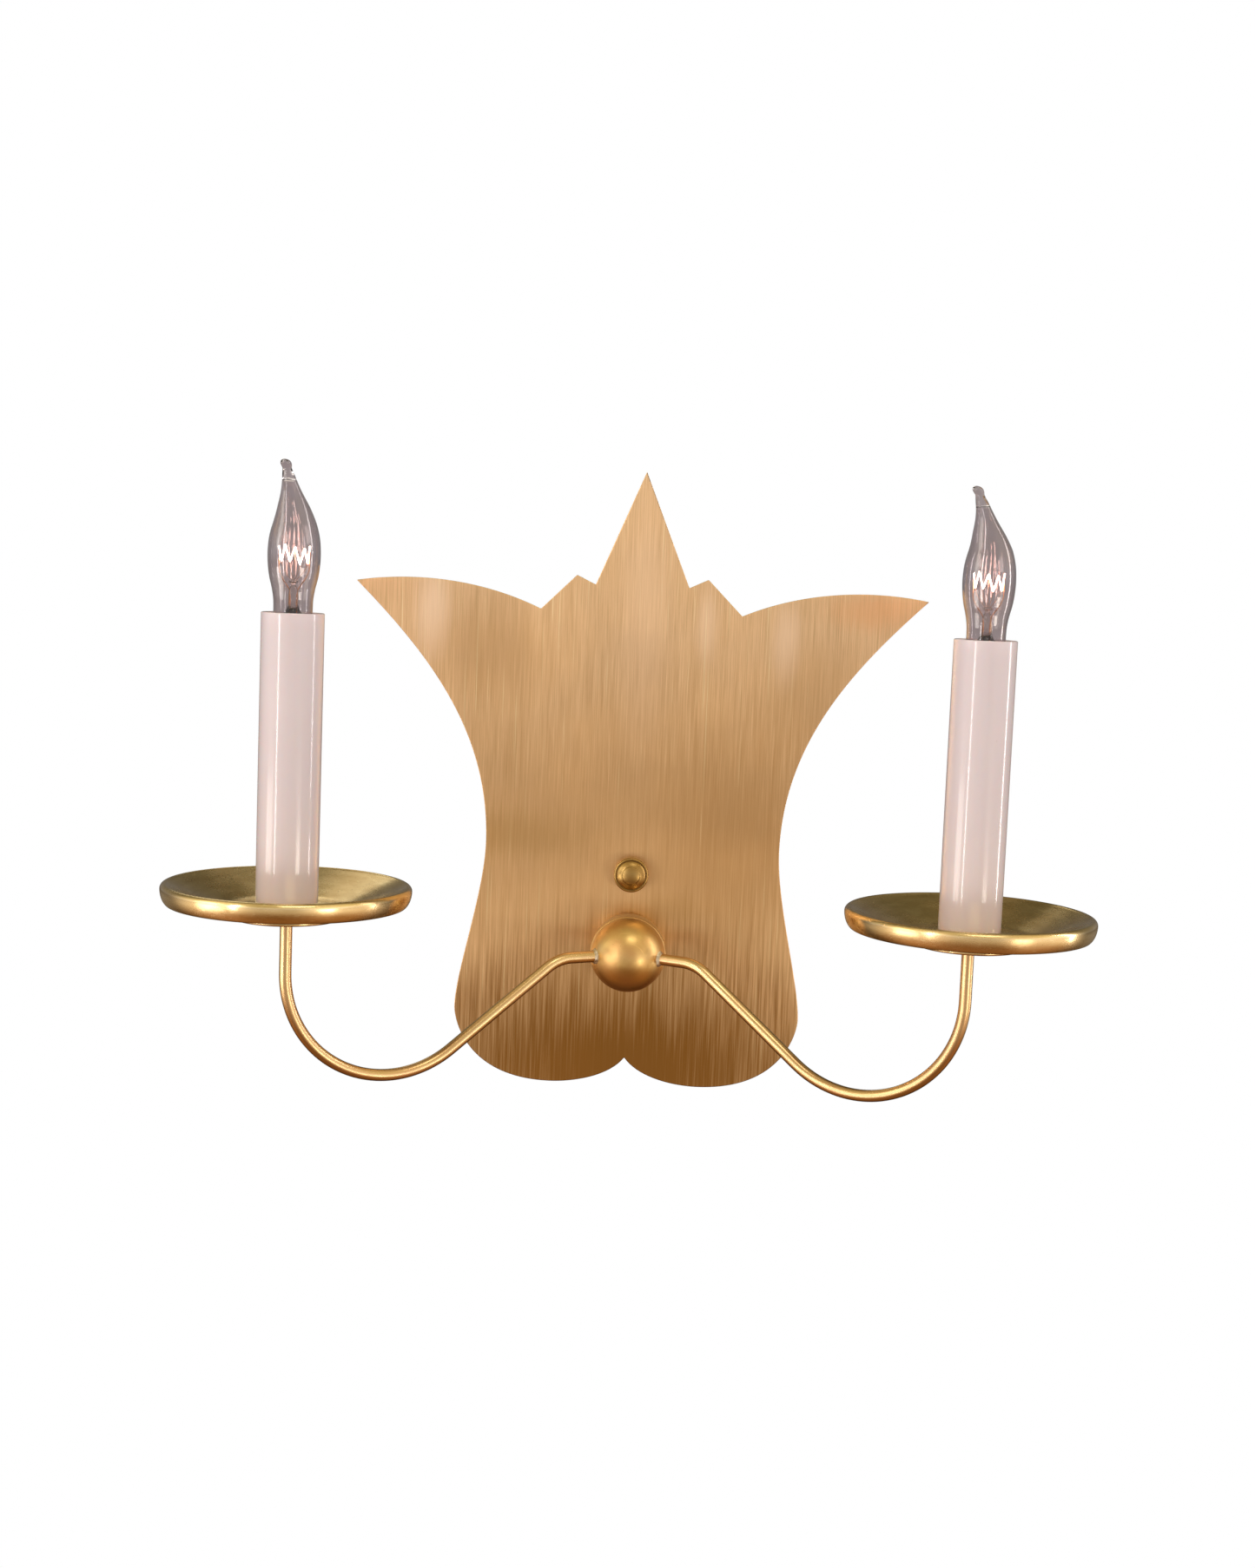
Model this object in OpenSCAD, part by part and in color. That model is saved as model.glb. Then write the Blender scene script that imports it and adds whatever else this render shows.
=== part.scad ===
// Two-arm electric candle wall sconce: a flat crown-shaped brass plate, a ball hub,
// two bent tube arms, round drip pans, candle sleeves and bent-tip flame lamps.
// Origin: centre of the mounting strap on the wall plane. +X right, -Y out into the room, +Z up.

/* [Wall plate] */
// Height of the centre point above the mounting axis
plate_top = 224; // [210:1:240]
// Half width of the plate at the tips of its ears
ear_x = 159; // [150:1:170]
// Height of the ear tips
ear_z = 158.5; // [150:0.5:170]
// Half width at the waist
waist_x = 82.5; // [78:0.5:90]
// Half width across the lower lobes
lobe_x = 97.5; // [94:0.5:105]
// Thickness of the plate
plate_t = 1.6; // [1:0.1:3]
// Gap between the plate and the wall
stand_off = 16; // [14:0.5:20]

/* [Wall fixing] */
// Length of the steel mounting strap
strap_l = 104; // [98:1:108]
// Width of the mounting strap
strap_w = 19; // [16:1:20]
// Distance between the centres of the two strap slots
slot_spacing = 79.4; // [76:0.1:82]
// Width of a slot, for a 4.2 mm box screw
slot_w = 4.5; // [4.3:0.1:4.8]
// Length of a slot from end to end
slot_l = 15; // [12:0.5:16]
// Outside diameter of the canopy dish behind the plate
canopy_d = 120; // [116:1:124]

/* [Hub and arms] */
// Diameter of the hub ball
ball_d = 41.3; // [38:0.1:44]
// Distance of the ball's centre from the wall
ball_out = 40; // [38:0.5:44]
// Depth of the ball's centre below the mounting axis
ball_drop = 42.2; // [40:0.1:46]
// Angle that each arm swings forward of the wall
arm_forward = 28; // [24:1:32]
// Outside diameter of the arm tube
arm_d = 6.35; // [6:0.05:7]
// Bore of the arm tube
arm_bore = 4.9; // [4.5:0.1:5]
// Downward slope of the arm's straight run
arm_slope = 36.5; // [32:0.5:40]
// Radius of the first, small bend
bend_small = 24; // [20:1:28]
// Radius of the large bend under the pan
bend_large = 58; // [52:1:60]
// Length of the sloping straight run
arm_run = 69; // [62:1:76]

/* [Pans] */
// Diameter of a drip pan
pan_d = 127; // [120:1:134]
// Height of the pan's rim above the mounting axis
pan_z = 4.7; // [2:0.1:8]
// Depth of the pan's floor below its rim
pan_depth = 12.2; // [10:0.1:13]

/* [Candles] */
// Outside diameter of a candle sleeve
sleeve_d = 31.75; // [31.5:0.05:33]
// Inside diameter of a candle sleeve
sleeve_bore = 29.2; // [29:0.1:29.6]
// Length of a candle sleeve
sleeve_l = 150; // [146:1:156]

/* [Lamps] */
// Turn of the left lamp's bent tip about its axis, from the left
tip_turn_left = 66; // [0:1:180]
// Turn of the right lamp's bent tip about its axis, from the left
tip_turn_right = 18; // [0:1:180]
// Turn of the left lamp's filament about its axis, degrees
mount_turn_left = 14; // [-90:1:90]
// Turn of the right lamp's filament about its axis, degrees
mount_turn_right = -12; // [-90:1:90]

/* [Hidden] */
$fn = 96;

// Colours
brass = "#c2995c";
plate_brass = "#c69a69";
steel = "#9a9c9e";
zinc = "#b9b7ab";
phenolic = "#2a211d";
ivory = "#ead6cf";
glass = "#b9aeb0";
copper = "#b5673a";

// One-eighth pipe thread of lamp nipples, and the arm's own thread
nipple_r = 5.15;
nipple_bore = 3.7;
tapped_r = 5.2;
arm_tapped_r = arm_d / 2 + 0.05;
slip_r = 5.6;
pipe_nut_flats = 14.3;
pipe_nut_t = 3.2;

// Stack of pieces out from the wall
strap_t = 2;
plate_front = stand_off + plate_t;
washer_t = 1;
sheet_t = 1.2;
canopy_t = 1;
ball_r = ball_d / 2;
mount_nipple_end = plate_front + 10;
hub_nipple_back = stand_off - 7;
hub_nipple_front = plate_front + 9;

// Arm path: s runs outward in the arm's own plane, h is height above the ball's centre
arm_start = 14;
tube_sides = 24;
first_end = 34.5;
run_s = first_end + bend_small * sin(arm_slope);
run_h = -bend_small * (1 - cos(arm_slope));
curve_s = run_s + arm_run * cos(arm_slope);
curve_h = run_h - arm_run * sin(arm_slope);
reach = curve_s + bend_large * (1 + sin(arm_slope));

// Heights of the pieces on an arm's end, above the mounting axis
pan_floor = pan_z - pan_depth;
pan_under = pan_floor - sheet_t;
seat_t = 4;
seat_r = 28.5;
pan_nut_t = 3.2;
pan_nut_flats = 11.1;
foot_z = pan_floor + pan_nut_t;
foot_t = 1.5;
hub_h = 7;
arm_end = foot_z + foot_t + hub_h - 0.8;

// Lamp holder
sleeve_top = pan_floor + sleeve_l;
socket_r = 14.3;
socket_bottom = sleeve_top - 42.5;
socket_top = sleeve_top - 8.5;
socket_floor = socket_bottom + 5;
shell_out_r = 13.5;
shell_in_r = 13.15;
leg_w = 8;
leg_t = 1.2;
leg_x = 12.6;
tab_t = 1.2;
screw_r = 1.5;

// Lamp: medium screw cap and bent-tip flame glass
cap_r = 12.9;
cap_t = 0.35;
neck_r = 9.85;
cap_top = sleeve_top - 2.8;
cap_bottom = cap_top - 21;
contact_z = cap_bottom - 5.8;
glass_bottom = sleeve_top - 7.5;
glass_t = 0.7;
glass_sides = 28;
bend_start = 44;
tip_bend = 7.2;
stem_top = sleeve_top + 16.5;

// Wires
wire_r = 0.95;
wire_sides = 8;
wire_pair = 1.05;
wire_spread = 5.4;
nipple_lane = 1.3;
ball_bend = 14;
exit_bend = 3.4;
exit_out = 9.3;
connector_x = 14;
connector_z = -33;
connector_out = 8;
connector_l = 20;

// ---------------------------------------------------------------- helpers

// Points of a cubic curve, without its last point
function cubic(a, b, c, d, n) =
    [for (i = [0:n - 1]) let (t = i / n, u = 1 - t)
        u * u * u * a + 3 * u * u * t * b + 3 * u * t * t * c + t * t * t * d];

// Points of an arc about a centre, both ends included
function arc(centre, r, from, to, n) =
    [for (i = [0:n]) let (a = from + (to - from) * i / n) centre + r * [cos(a), sin(a)]];

function flip(points) = [for (i = [len(points) - 1:-1:0]) [-points[i][0], points[i][1]]];
function unit(v) = v / norm(v);
function tangent(p, i) = unit(p[min(i + 1, len(p) - 1)] - p[max(i - 1, 0)]);

// A side direction at each point of a path, carried along it without twisting
function carried(p, side, i = 0) =
    i >= len(p) ? [] :
    let (t = tangent(p, i), u = unit(side - (side * t) * t))
    concat([u], carried(p, u, i + 1));

// Rings of a round tube of radius r along a path
function tube_rings(p, r, side, sides) =
    let (us = carried(p, side))
    [for (i = [0:len(p) - 1]) let (u = us[i], w = cross(tangent(p, i), u))
        [for (k = [0:sides - 1]) p[i] + r * (cos(360 * k / sides) * u + sin(360 * k / sides) * w)]];

// Closed skin over rings of equal length, with flat ends, or joined end to end when looped
module skin(rings, looped = false) {
    n = len(rings[0]);
    m = len(rings);
    points = [for (ring = rings, p = ring) p];
    walls = [for (i = [0:m - (looped ? 1 : 2)], k = [0:n - 1]) let (j = (i + 1) % m, l = (k + 1) % n)
        [i * n + k, j * n + k, j * n + l, i * n + l]];
    start = [for (k = [0:n - 1]) k];
    finish = [for (k = [n - 1:-1:0]) (m - 1) * n + k];
    polyhedron(points, looped ? walls : concat(walls, [start], [finish]));
}

// Local z runs out from the wall, local y is up
module out_from_wall(d, z = 0) {
    translate([0, -d, z]) rotate([90, 0, 0]) children();
}

// Local x runs out along the arm, local z is height above the ball's centre
module in_arm(side) {
    if (side > 0)
        translate([0, -ball_out, -ball_drop]) rotate([0, 0, -arm_forward]) children();
    else
        mirror([1, 0, 0]) translate([0, -ball_out, -ball_drop]) rotate([0, 0, -arm_forward]) children();
}

// Local origin on a pan's axis at the height of the mounting axis, x still along the arm
module on_pan_axis(side) {
    in_arm(side) translate([reach, 0, ball_drop]) children();
}

function arm_point(side, s, n, h) = [
    side * (s * cos(arm_forward) + n * sin(arm_forward)),
    -ball_out - s * sin(arm_forward) + n * cos(arm_forward),
    h - ball_drop
];

module hex_nut(flats, t, bore) {
    difference() {
        cylinder(r = flats / 2 / cos(30), h = t, $fn = 6);
        translate([0, 0, -1]) cylinder(r = bore, h = t + 2);
    }
}

module pipe_nipple(from, to) {
    translate([0, 0, from]) difference() {
        cylinder(r = nipple_r, h = to - from);
        translate([0, 0, -1]) cylinder(r = nipple_bore, h = to - from + 2);
    }
}

// Round-headed screw, head below the origin and shank above it
module small_screw(head_r, head_t, shank_r, shank_l) {
    translate([0, 0, -head_t]) cylinder(r = head_r, h = head_t);
    cylinder(r = shank_r, h = shank_l);
}

// ---------------------------------------------------------------- wall fixing

module mounting_strap() {
    color(zinc) out_from_wall(0) difference() {
        intersection() {
            translate([-strap_l / 2, -strap_w / 2, 0]) cube([strap_l, strap_w, strap_t]);
            cylinder(r = strap_l / 2, h = strap_t);
        }
        translate([0, 0, -1]) cylinder(r = tapped_r, h = strap_t + 2);
        translate([20, 0, -1]) cylinder(r = 2.45, h = strap_t + 2);
        for (side = [-1, 1]) translate([side * slot_spacing / 2, 0, -1]) {
            for (end = [-1, 1])
                translate([end * (slot_l - slot_w) / 2, 0, 0]) cylinder(r = slot_w / 2, h = strap_t + 2);
            translate([-(slot_l - slot_w) / 2, -slot_w / 2, 0]) cube([slot_l - slot_w, slot_w, strap_t + 2]);
        }
    }
}

module mounting_nipple() {
    color(brass) out_from_wall(0) pipe_nipple(0, mount_nipple_end);
}

module nipple_lock_nut() {
    color(zinc) out_from_wall(strap_t) hex_nut(pipe_nut_flats, pipe_nut_t, tapped_r);
}

module ground_screw() {
    color("#3f7a4a") out_from_wall(strap_t + 0.1) translate([20, 0, 0]) {
        cylinder(r = 4.2, h = 2.2);
        translate([0, 0, -strap_t - 0.1]) cylinder(r = 2.4, h = strap_t + 0.2);
    }
}

// ---------------------------------------------------------------- plate, canopy and hub

// Right half of the plate, from the centre point down to the foot notch
plate_half = concat(
    [[0.6, plate_top], [26, 161], [36.5, 166]],
    cubic([56, 146.5], [88, 161], [125, 164.5], [ear_x, ear_z], 10),
    cubic([ear_x, ear_z], [ear_x - 41, ear_z - 39.5], [waist_x, 77], [waist_x, 15], 18),
    cubic([waist_x, 15], [waist_x, -14], [lobe_x, -60], [lobe_x, -80], 12),
    cubic([lobe_x, -80], [lobe_x, -88], [90, -121.3], [42, -121.3], 14),
    cubic([42, -121.3], [27.5, -121.3], [8, -117], [0, -106], 6),
    [[0, -106]]
);

module backplate() {
    color(plate_brass) out_from_wall(stand_off) difference() {
        linear_extrude(plate_t) polygon(concat(plate_half, flip([for (p = plate_half) if (p[0] > 0) p])));
        translate([0, 0, -1]) cylinder(r = slip_r, h = plate_t + 2);
        translate([0, -ball_drop, -1]) cylinder(r = tapped_r, h = plate_t + 2);
    }
}

module rear_canopy() {
    r = canopy_d / 2;
    corner = 4;
    color(brass) out_from_wall(0) difference() {
        rotate_extrude() polygon(concat(
            [[0, stand_off - canopy_t], [0, stand_off]],
            arc([r - corner, stand_off - corner], corner, 90, 0, 8),
            [[r, 0], [r - 3, 0], [r - 3, canopy_t], [r - canopy_t, canopy_t]],
            arc([r - corner, stand_off - corner], corner - canopy_t, 0, 90, 8)
        ));
        translate([0, 0, stand_off - 3]) cylinder(r = slip_r, h = 6);
        translate([0, -ball_drop, stand_off - 3]) cylinder(r = tapped_r, h = 6);
    }
}

module hub_nipple() {
    color(brass) out_from_wall(0, -ball_drop) pipe_nipple(hub_nipple_back, hub_nipple_front);
}

module hub_washer() {
    color(zinc) out_from_wall(stand_off - canopy_t - washer_t, -ball_drop) difference() {
        cylinder(r = 9, h = washer_t);
        translate([0, 0, -1]) cylinder(r = tapped_r, h = washer_t + 2);
    }
}

module hub_lock_nut() {
    color(zinc) out_from_wall(stand_off - canopy_t - washer_t - pipe_nut_t, -ball_drop)
        hex_nut(pipe_nut_flats, pipe_nut_t, tapped_r);
}

// Rear cup of the hub: a flat seat on the plate, a round shoulder and a lip at the seam
module hub_rear_shell() {
    corner = 9;
    seam = ball_out;
    color(brass) out_from_wall(0, -ball_drop) rotate_extrude() polygon(concat(
        [[tapped_r, plate_front]],
        arc([ball_r - corner, plate_front + corner], corner, -90, 0, 10),
        [[ball_r, seam - 1.2], [ball_r + 0.3, seam - 0.9], [ball_r + 0.3, seam - 0.3], [ball_r, seam]],
        [[ball_r - sheet_t, seam]],
        arc([ball_r - corner, plate_front + corner], corner - sheet_t, 0, -90, 10),
        [[tapped_r, plate_front + sheet_t]]
    ));
}

// Front half of the ball, with a turned skirt inside the rear cup and a hole for each arm
module hub_front_shell() {
    skirt_r = ball_r - sheet_t - 0.05;
    color(brass) difference() {
        out_from_wall(ball_out, -ball_drop) rotate_extrude() polygon(concat(
            arc([0, 0], ball_r, 0, 90, 24),
            arc([0, 0], ball_r - sheet_t, 90, 3, 22),
            [[skirt_r - 1, 1], [skirt_r - 1, -3], [skirt_r, -3], [skirt_r, 0]]
        ));
        for (side = [-1, 1]) in_arm(side) translate([arm_start, 0, 0]) rotate([0, 90, 0])
            cylinder(r = arm_tapped_r, h = 10);
    }
}

module knob_washer() {
    color(brass) out_from_wall(plate_front) difference() {
        cylinder(r = 9.2, h = washer_t);
        translate([0, 0, -1]) cylinder(r = tapped_r + 0.1, h = washer_t + 2);
    }
}

// Domed cap nut: necked body, rounded lip, a fine groove and a domed face
module domed_cap_nut() {
    base = plate_front + washer_t;
    color(brass) out_from_wall(base) rotate_extrude() polygon(concat(
        [[tapped_r, 0], [8.6, 0], [8.2, 1], [8.2, 2.4]],
        cubic([8.2, 2.4], [8.2, 4.4], [9.7, 4.4], [9.7, 6.2], 5),
        arc([8.7, 6.4], 1, 0, 80, 5),
        [[8.5, 7.1], [8.3, 7.1]],
        cubic([8.2, 7.5], [6.6, 9.8], [3.4, 11.2], [0, 11.4], 8),
        [[0, 11.4], [0, 9.6], [tapped_r, 9.6]]
    ));
}

// ---------------------------------------------------------------- arms and pans

// The arm's path at a sideways offset n: upright end, large bend, sloping run, small bend, level end
function arm_path(side, n, steps) = concat(
    [for (i = [0:steps]) let (a = 90 - (90 + arm_slope) * i / steps)
        arm_point(side, curve_s + bend_large * (sin(arm_slope) + sin(a)), n,
            curve_h - bend_large * (cos(a) - cos(arm_slope)))],
    [for (i = [0:steps / 4]) let (a = arm_slope * (1 - 4 * i / steps))
        arm_point(side, first_end + bend_small * sin(a), n, -bend_small * (1 - cos(a)))],
    [arm_point(side, arm_start, n, 0)]
);

// One bent tube, from its threaded upper end down and in to the ball
module arm(side) {
    path = concat([arm_point(side, reach, 0, arm_end + ball_drop)], arm_path(side, 0, 28));
    outer = tube_rings(path, arm_d / 2, [1, 0, 0], tube_sides);
    bore = tube_rings(path, arm_bore / 2, [1, 0, 0], tube_sides);
    color(brass) skin(concat([for (i = [len(bore) - 1:-1:0]) bore[i]], outer), true);
}

// Ring of solder round the tube where it enters the ball
module solder_bead(side) {
    inner = arm_tapped_r;
    foot = sqrt(ball_r * ball_r - inner * inner) + 0.03;
    color("#d9d2c4") in_arm(side) rotate([0, 90, 0]) rotate_extrude() polygon(concat(
        [[inner, foot]],
        cubic([inner + 1.8, foot - 0.38], [inner + 1.3, foot + 0.2], [inner + 0.5, foot + 0.7],
            [inner + 0.3, foot + 1.3], 5),
        [[inner + 0.3, foot + 1.3], [inner, foot + 1.4]]
    ));
}

// Cup-shaped seat that screws on the arm and carries the pan
module pan_seat(side) {
    low = -seat_t;
    color(brass) on_pan_axis(side) translate([0, 0, pan_under]) rotate_extrude() polygon(concat(
        [[arm_tapped_r, low], [seat_r - 1, low]],
        arc([seat_r - 1, low + 1], 1, -90, 0, 4),
        [[seat_r, 0], [seat_r - sheet_t, 0], [seat_r - sheet_t, low + sheet_t]],
        [[8, low + sheet_t], [8, 0], [arm_tapped_r, 0]]
    ));
}

// Pan: flat floor, sloping well, rounded crest and a fascia that turns in at its foot
module pan(side) {
    r = pan_d / 2;
    floor_r = 33;
    crest = 2.6;
    fascia_h = 10.2;
    color(brass) on_pan_axis(side) translate([0, 0, pan_z]) rotate_extrude() polygon(concat(
        [[arm_tapped_r, -pan_depth], [floor_r, -pan_depth], [r - 4.2, -0.6], [r - 3.4, -0.1]],
        arc([r - crest, -crest], crest, 90, 0, 7),
        cubic([r, -crest], [r, -5.4], [r - 0.9, -8.6], [r - 2.7, -fascia_h], 7),
        [[r - 2.7, -fascia_h], [r - 3.9, -fascia_h]],
        cubic([r - 3.9, -fascia_h], [r - 2.1, -8.4], [r - sheet_t, -5.2], [r - sheet_t, -crest], 7),
        arc([r - crest, -crest], crest - sheet_t, 0, 90, 5),
        [[r - 4, -2.1], [floor_r + 0.3, -pan_depth - sheet_t], [arm_tapped_r, -pan_depth - sheet_t]]
    ));
}

module pan_nut(side) {
    color(zinc) on_pan_axis(side) translate([0, 0, pan_floor])
        hex_nut(pan_nut_flats, pan_nut_t, arm_tapped_r);
}

// ---------------------------------------------------------------- lamp holders

// Steel bracket: a tapped hub on a foot, a flat leg, and a tab under the socket
module socket_bracket(side) {
    color(steel) on_pan_axis(side) difference() {
        union() {
            translate([0, 0, foot_z]) cylinder(r = 6.5, h = foot_t + hub_h);
            translate([0, -leg_w / 2, foot_z]) cube([leg_x, leg_w, foot_t]);
            translate([leg_x - leg_t, -leg_w / 2, foot_z]) cube([leg_t, leg_w, socket_bottom - foot_z]);
            translate([-10.8, -leg_w / 2, socket_bottom - tab_t]) cube([leg_x + 10.8, leg_w, tab_t]);
        }
        translate([0, 0, foot_z - 1]) cylinder(r = arm_tapped_r, h = foot_t + hub_h + 2);
        for (x = [-1, 1]) translate([8 * x, 0, socket_bottom - tab_t - 1])
            cylinder(r = screw_r + 0.05, h = tab_t + 2);
    }
}

module bracket_screws(side) {
    color(zinc) on_pan_axis(side) for (x = [-1, 1])
        translate([8 * x, 0, socket_bottom - tab_t]) small_screw(2.6, 1.8, screw_r, tab_t + 4);
}

// Moulded socket: a deep cup with blind holes for its screws in the floor
module socket_body(side) {
    color(phenolic) on_pan_axis(side) difference() {
        translate([0, 0, socket_bottom]) cylinder(r = socket_r, h = socket_top - socket_bottom);
        translate([0, 0, socket_floor]) cylinder(r = shell_out_r + 0.05, h = socket_top - socket_floor + 1);
        for (a = [0:90:270]) rotate([0, 0, a]) translate([a % 180 == 0 ? 8 : 9.2, 0, socket_bottom - 1])
            cylinder(r = screw_r + 0.05, h = 5.2);
    }
}

module screw_shell(side) {
    color(brass) on_pan_axis(side) translate([0, 0, socket_floor]) difference() {
        cylinder(r = shell_out_r, h = 28);
        translate([0, 0, 0.5]) cylinder(r = shell_in_r, h = 28);
        translate([0, 0, -1]) cylinder(r = 10.5, h = 4);
    }
}

// Springy brass arch on the socket's floor that meets the lamp's contact
module centre_contact(side) {
    h = contact_z - socket_floor;
    t = 0.8;
    place = [0, 3, socket_floor];
    color(brass) on_pan_axis(side) translate(place) rotate([90, 0, 0]) linear_extrude(6) polygon([
        [-9, 0], [-4.4, 0], [-1.6, h - t], [1.6, h - t], [4.4, 0], [9, 0],
        [9, t], [5, t], [2.2, h], [-2.2, h], [-5, t], [-9, t]
    ]);
}

module terminal_screws(side) {
    color(brass) on_pan_axis(side) for (y = [-1, 1])
        translate([0, 9.2 * y, socket_bottom]) small_screw(2.6, 1.5, screw_r, 4);
}

// ---------------------------------------------------------------- wiring

// Inside the ball: an arc from the arm's line to the nipple's, while the pair twists upright
function ball_turn(side, way) =
    let (turn = 90 - arm_forward,
         corner = ball_out + arm_start * sin(arm_forward)
             - (arm_start * cos(arm_forward) - nipple_lane) * tan(arm_forward),
         foot = corner - ball_bend * tan(turn / 2))
    [for (i = [0:8]) let (a = turn * (1 - i / 8), share = min(1, (i + 1) / 6),
            w = wire_pair + (nipple_lane - wire_pair) * share, across = way * w * cos(90 * share))
        [side * (nipple_lane + ball_bend * (1 - cos(a)) + across * cos(a)),
            -(foot + ball_bend * sin(a) - across * sin(a)), -way * w * sin(90 * share) - ball_drop]];

// Inside the canopy: a quarter turn out of the nipple, then across to the connector
function canopy_turn(side, way) =
    let (r = exit_bend - way * side * nipple_lane, z = -way * nipple_lane - ball_drop,
         start_out = exit_out - exit_bend)
    concat(
        [for (a = [0:22.5:90]) [way * (exit_bend - r * cos(a)), r * sin(a) - exit_out, z]],
        [for (q = [[6, 0.12], [9, 0.5], [11.5, 0.9], [connector_x - 1, 1], [connector_x, 1]])
            let (share = min(1, (q[0] - exit_bend) / 8),
                 gap = nipple_lane + (wire_pair - nipple_lane) * share)
            [way * q[0], -(start_out + (connector_out - start_out) * share + way * side * gap),
                z + (connector_z - z) * q[1]]]
    );

// From the socket through the arm, the ball and the hub nipple to a connector in the canopy. Way is
// -1 for the live wire, whose connector lies on the left, and 1 for the neutral wire.
function wire_path(side, way) = concat(
    [for (q = [[wire_spread, socket_bottom], [wire_spread, socket_bottom - 6],
               [wire_spread * 0.75, socket_bottom - 13], [wire_spread * 0.35, socket_bottom - 20],
               [wire_pair, socket_bottom - 28], [wire_pair, arm_end + 4]])
        arm_point(side, reach, way * q[0], q[1] + ball_drop)],
    arm_path(side, way * wire_pair, 16),
    ball_turn(side, way),
    canopy_turn(side, way)
);

module wire(side, way, tint) {
    color(tint) skin(tube_rings(wire_path(side, way), wire_r, [1, 0, 0], wire_sides));
}

// Twist-on wire connector lying in the canopy, mouth towards the hub nipple
module connector(side, tint) {
    color(tint) translate([side * connector_x, -connector_out, connector_z]) rotate([0, side * 90, 0])
        rotate_extrude() polygon([[0, 0], [4.6, 0], [4.8, 1], [4.8, 5], [4.2, 7], [3, connector_l - 2],
            [2.2, connector_l], [0, connector_l]]);
}

// ---------------------------------------------------------------- candle sleeves

module sleeve(side) {
    r = sleeve_d / 2;
    b = sleeve_bore / 2;
    lip = 0.6;
    color(ivory) on_pan_axis(side) translate([0, 0, pan_floor]) rotate_extrude() polygon(concat(
        [[b, 0], [r, 0]],
        arc([r - lip, sleeve_l - lip], lip, 0, 90, 5),
        arc([b + lip, sleeve_l - lip], lip, 90, 180, 5)
    ));
}

// ---------------------------------------------------------------- lamps

module bulb_shell(side) {
    color(brass) on_pan_axis(side) rotate_extrude() polygon([
        [cap_r, cap_bottom], [cap_r, cap_top - 4], [neck_r + cap_t, cap_top - 0.6],
        [neck_r + cap_t, cap_top], [neck_r, cap_top], [neck_r, cap_top - 0.8],
        [cap_r - cap_t, cap_top - 4.2], [cap_r - cap_t, cap_bottom]
    ]);
}

module bulb_insulator(side) {
    color("#1c1a1e") on_pan_axis(side) rotate_extrude() polygon([
        [0, contact_z + 1.6], [4.8, contact_z + 1.6], [6, contact_z + 2.2], [12.4, cap_bottom - 0.1],
        [12.4, cap_bottom + 1], [0, cap_bottom + 1]
    ]);
}

module bulb_contact(side) {
    color(zinc) on_pan_axis(side) rotate_extrude() polygon(concat(
        [[0, contact_z + 1.6], [0, contact_z]],
        cubic([1.4, contact_z], [3.2, contact_z + 0.1], [4.4, contact_z + 0.7], [4.6, contact_z + 1.6], 5),
        [[4.6, contact_z + 1.6]]
    ));
}

// Radius and sideways bend of the glass at each height above the sleeve's top
flame = [
    [-7.5, 9.6], [-3, 9.8], [2, 9.8], [7, 10], [12, 10.8], [17, 12], [22, 12.8], [28, 13.2], [34, 13],
    [39, 12.3], [44, 11], [48.5, 9.5], [53, 7.9], [57, 6.3], [61, 4.9], [65, 3.8], [69, 3.1], [72.5, 2.7],
    [74.8, 2.1], [75.9, 1.1]
];
function lean(h) = h < bend_start ? 0 : tip_bend * pow((h - bend_start) / 26, 1.5);
function flame_ring(p, inset, drop) =
    let (r = max(p[1] - inset, 0.3), h = p[0] - drop)
    [for (k = [0:glass_sides - 1]) let (a = 360 * k / glass_sides)
        [-lean(h) + r * cos(a), r * sin(a), sleeve_top + h]];

// Clear glass flame, hollow, with a solid bead at its bent tip
module flame_glass() {
    n = len(flame);
    inner = [for (i = [n - 4:-1:0]) flame_ring(flame[i], glass_t, 0)];
    outer = [for (i = [0:n - 1]) flame_ring(flame[i], 0, 0)];
    skin(concat(inner, outer));
}

module lamp_axis(side, turn) {
    translate([side * reach * cos(arm_forward), -ball_out - reach * sin(arm_forward), 0])
        rotate([0, 0, turn]) children();
}

function tip_turn(side) = side > 0 ? tip_turn_right : tip_turn_left;
function mount_turn(side) = side > 0 ? mount_turn_right : mount_turn_left;

module bulb_glass(side) {
    color(glass, 0.4) lamp_axis(side, tip_turn(side)) flame_glass();
}

// Glass mount: flared foot, narrow tube and a button on top
module bulb_stem(side) {
    foot = glass_bottom + 1;
    color(glass) lamp_axis(side, 0) rotate_extrude() polygon(concat(
        [[0, foot], [8.6, foot]],
        cubic([8.6, foot], [8, foot + 5], [3, foot + 5], [2.6, foot + 11], 6),
        [[2.6, foot + 11], [2.4, stem_top - 4], [1.2, stem_top - 3], [1.2, stem_top - 1.8],
         [3, stem_top - 1.4], [3, stem_top - 0.4], [2.4, stem_top], [0, stem_top]]
    ));
}

// Zigzag of the filament round the lamp's axis, seven corners from one lead to the other
filament_r = 7.8;
filament_low = sleeve_top + 24;
filament_high = sleeve_top + 33.8;
filament_corners = [for (i = [0:8]) let (a = 195 + 150 * i / 8)
    [filament_r * cos(a), filament_r * sin(a) * 0.8, i % 2 == 0 ? filament_high : filament_low]];

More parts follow.
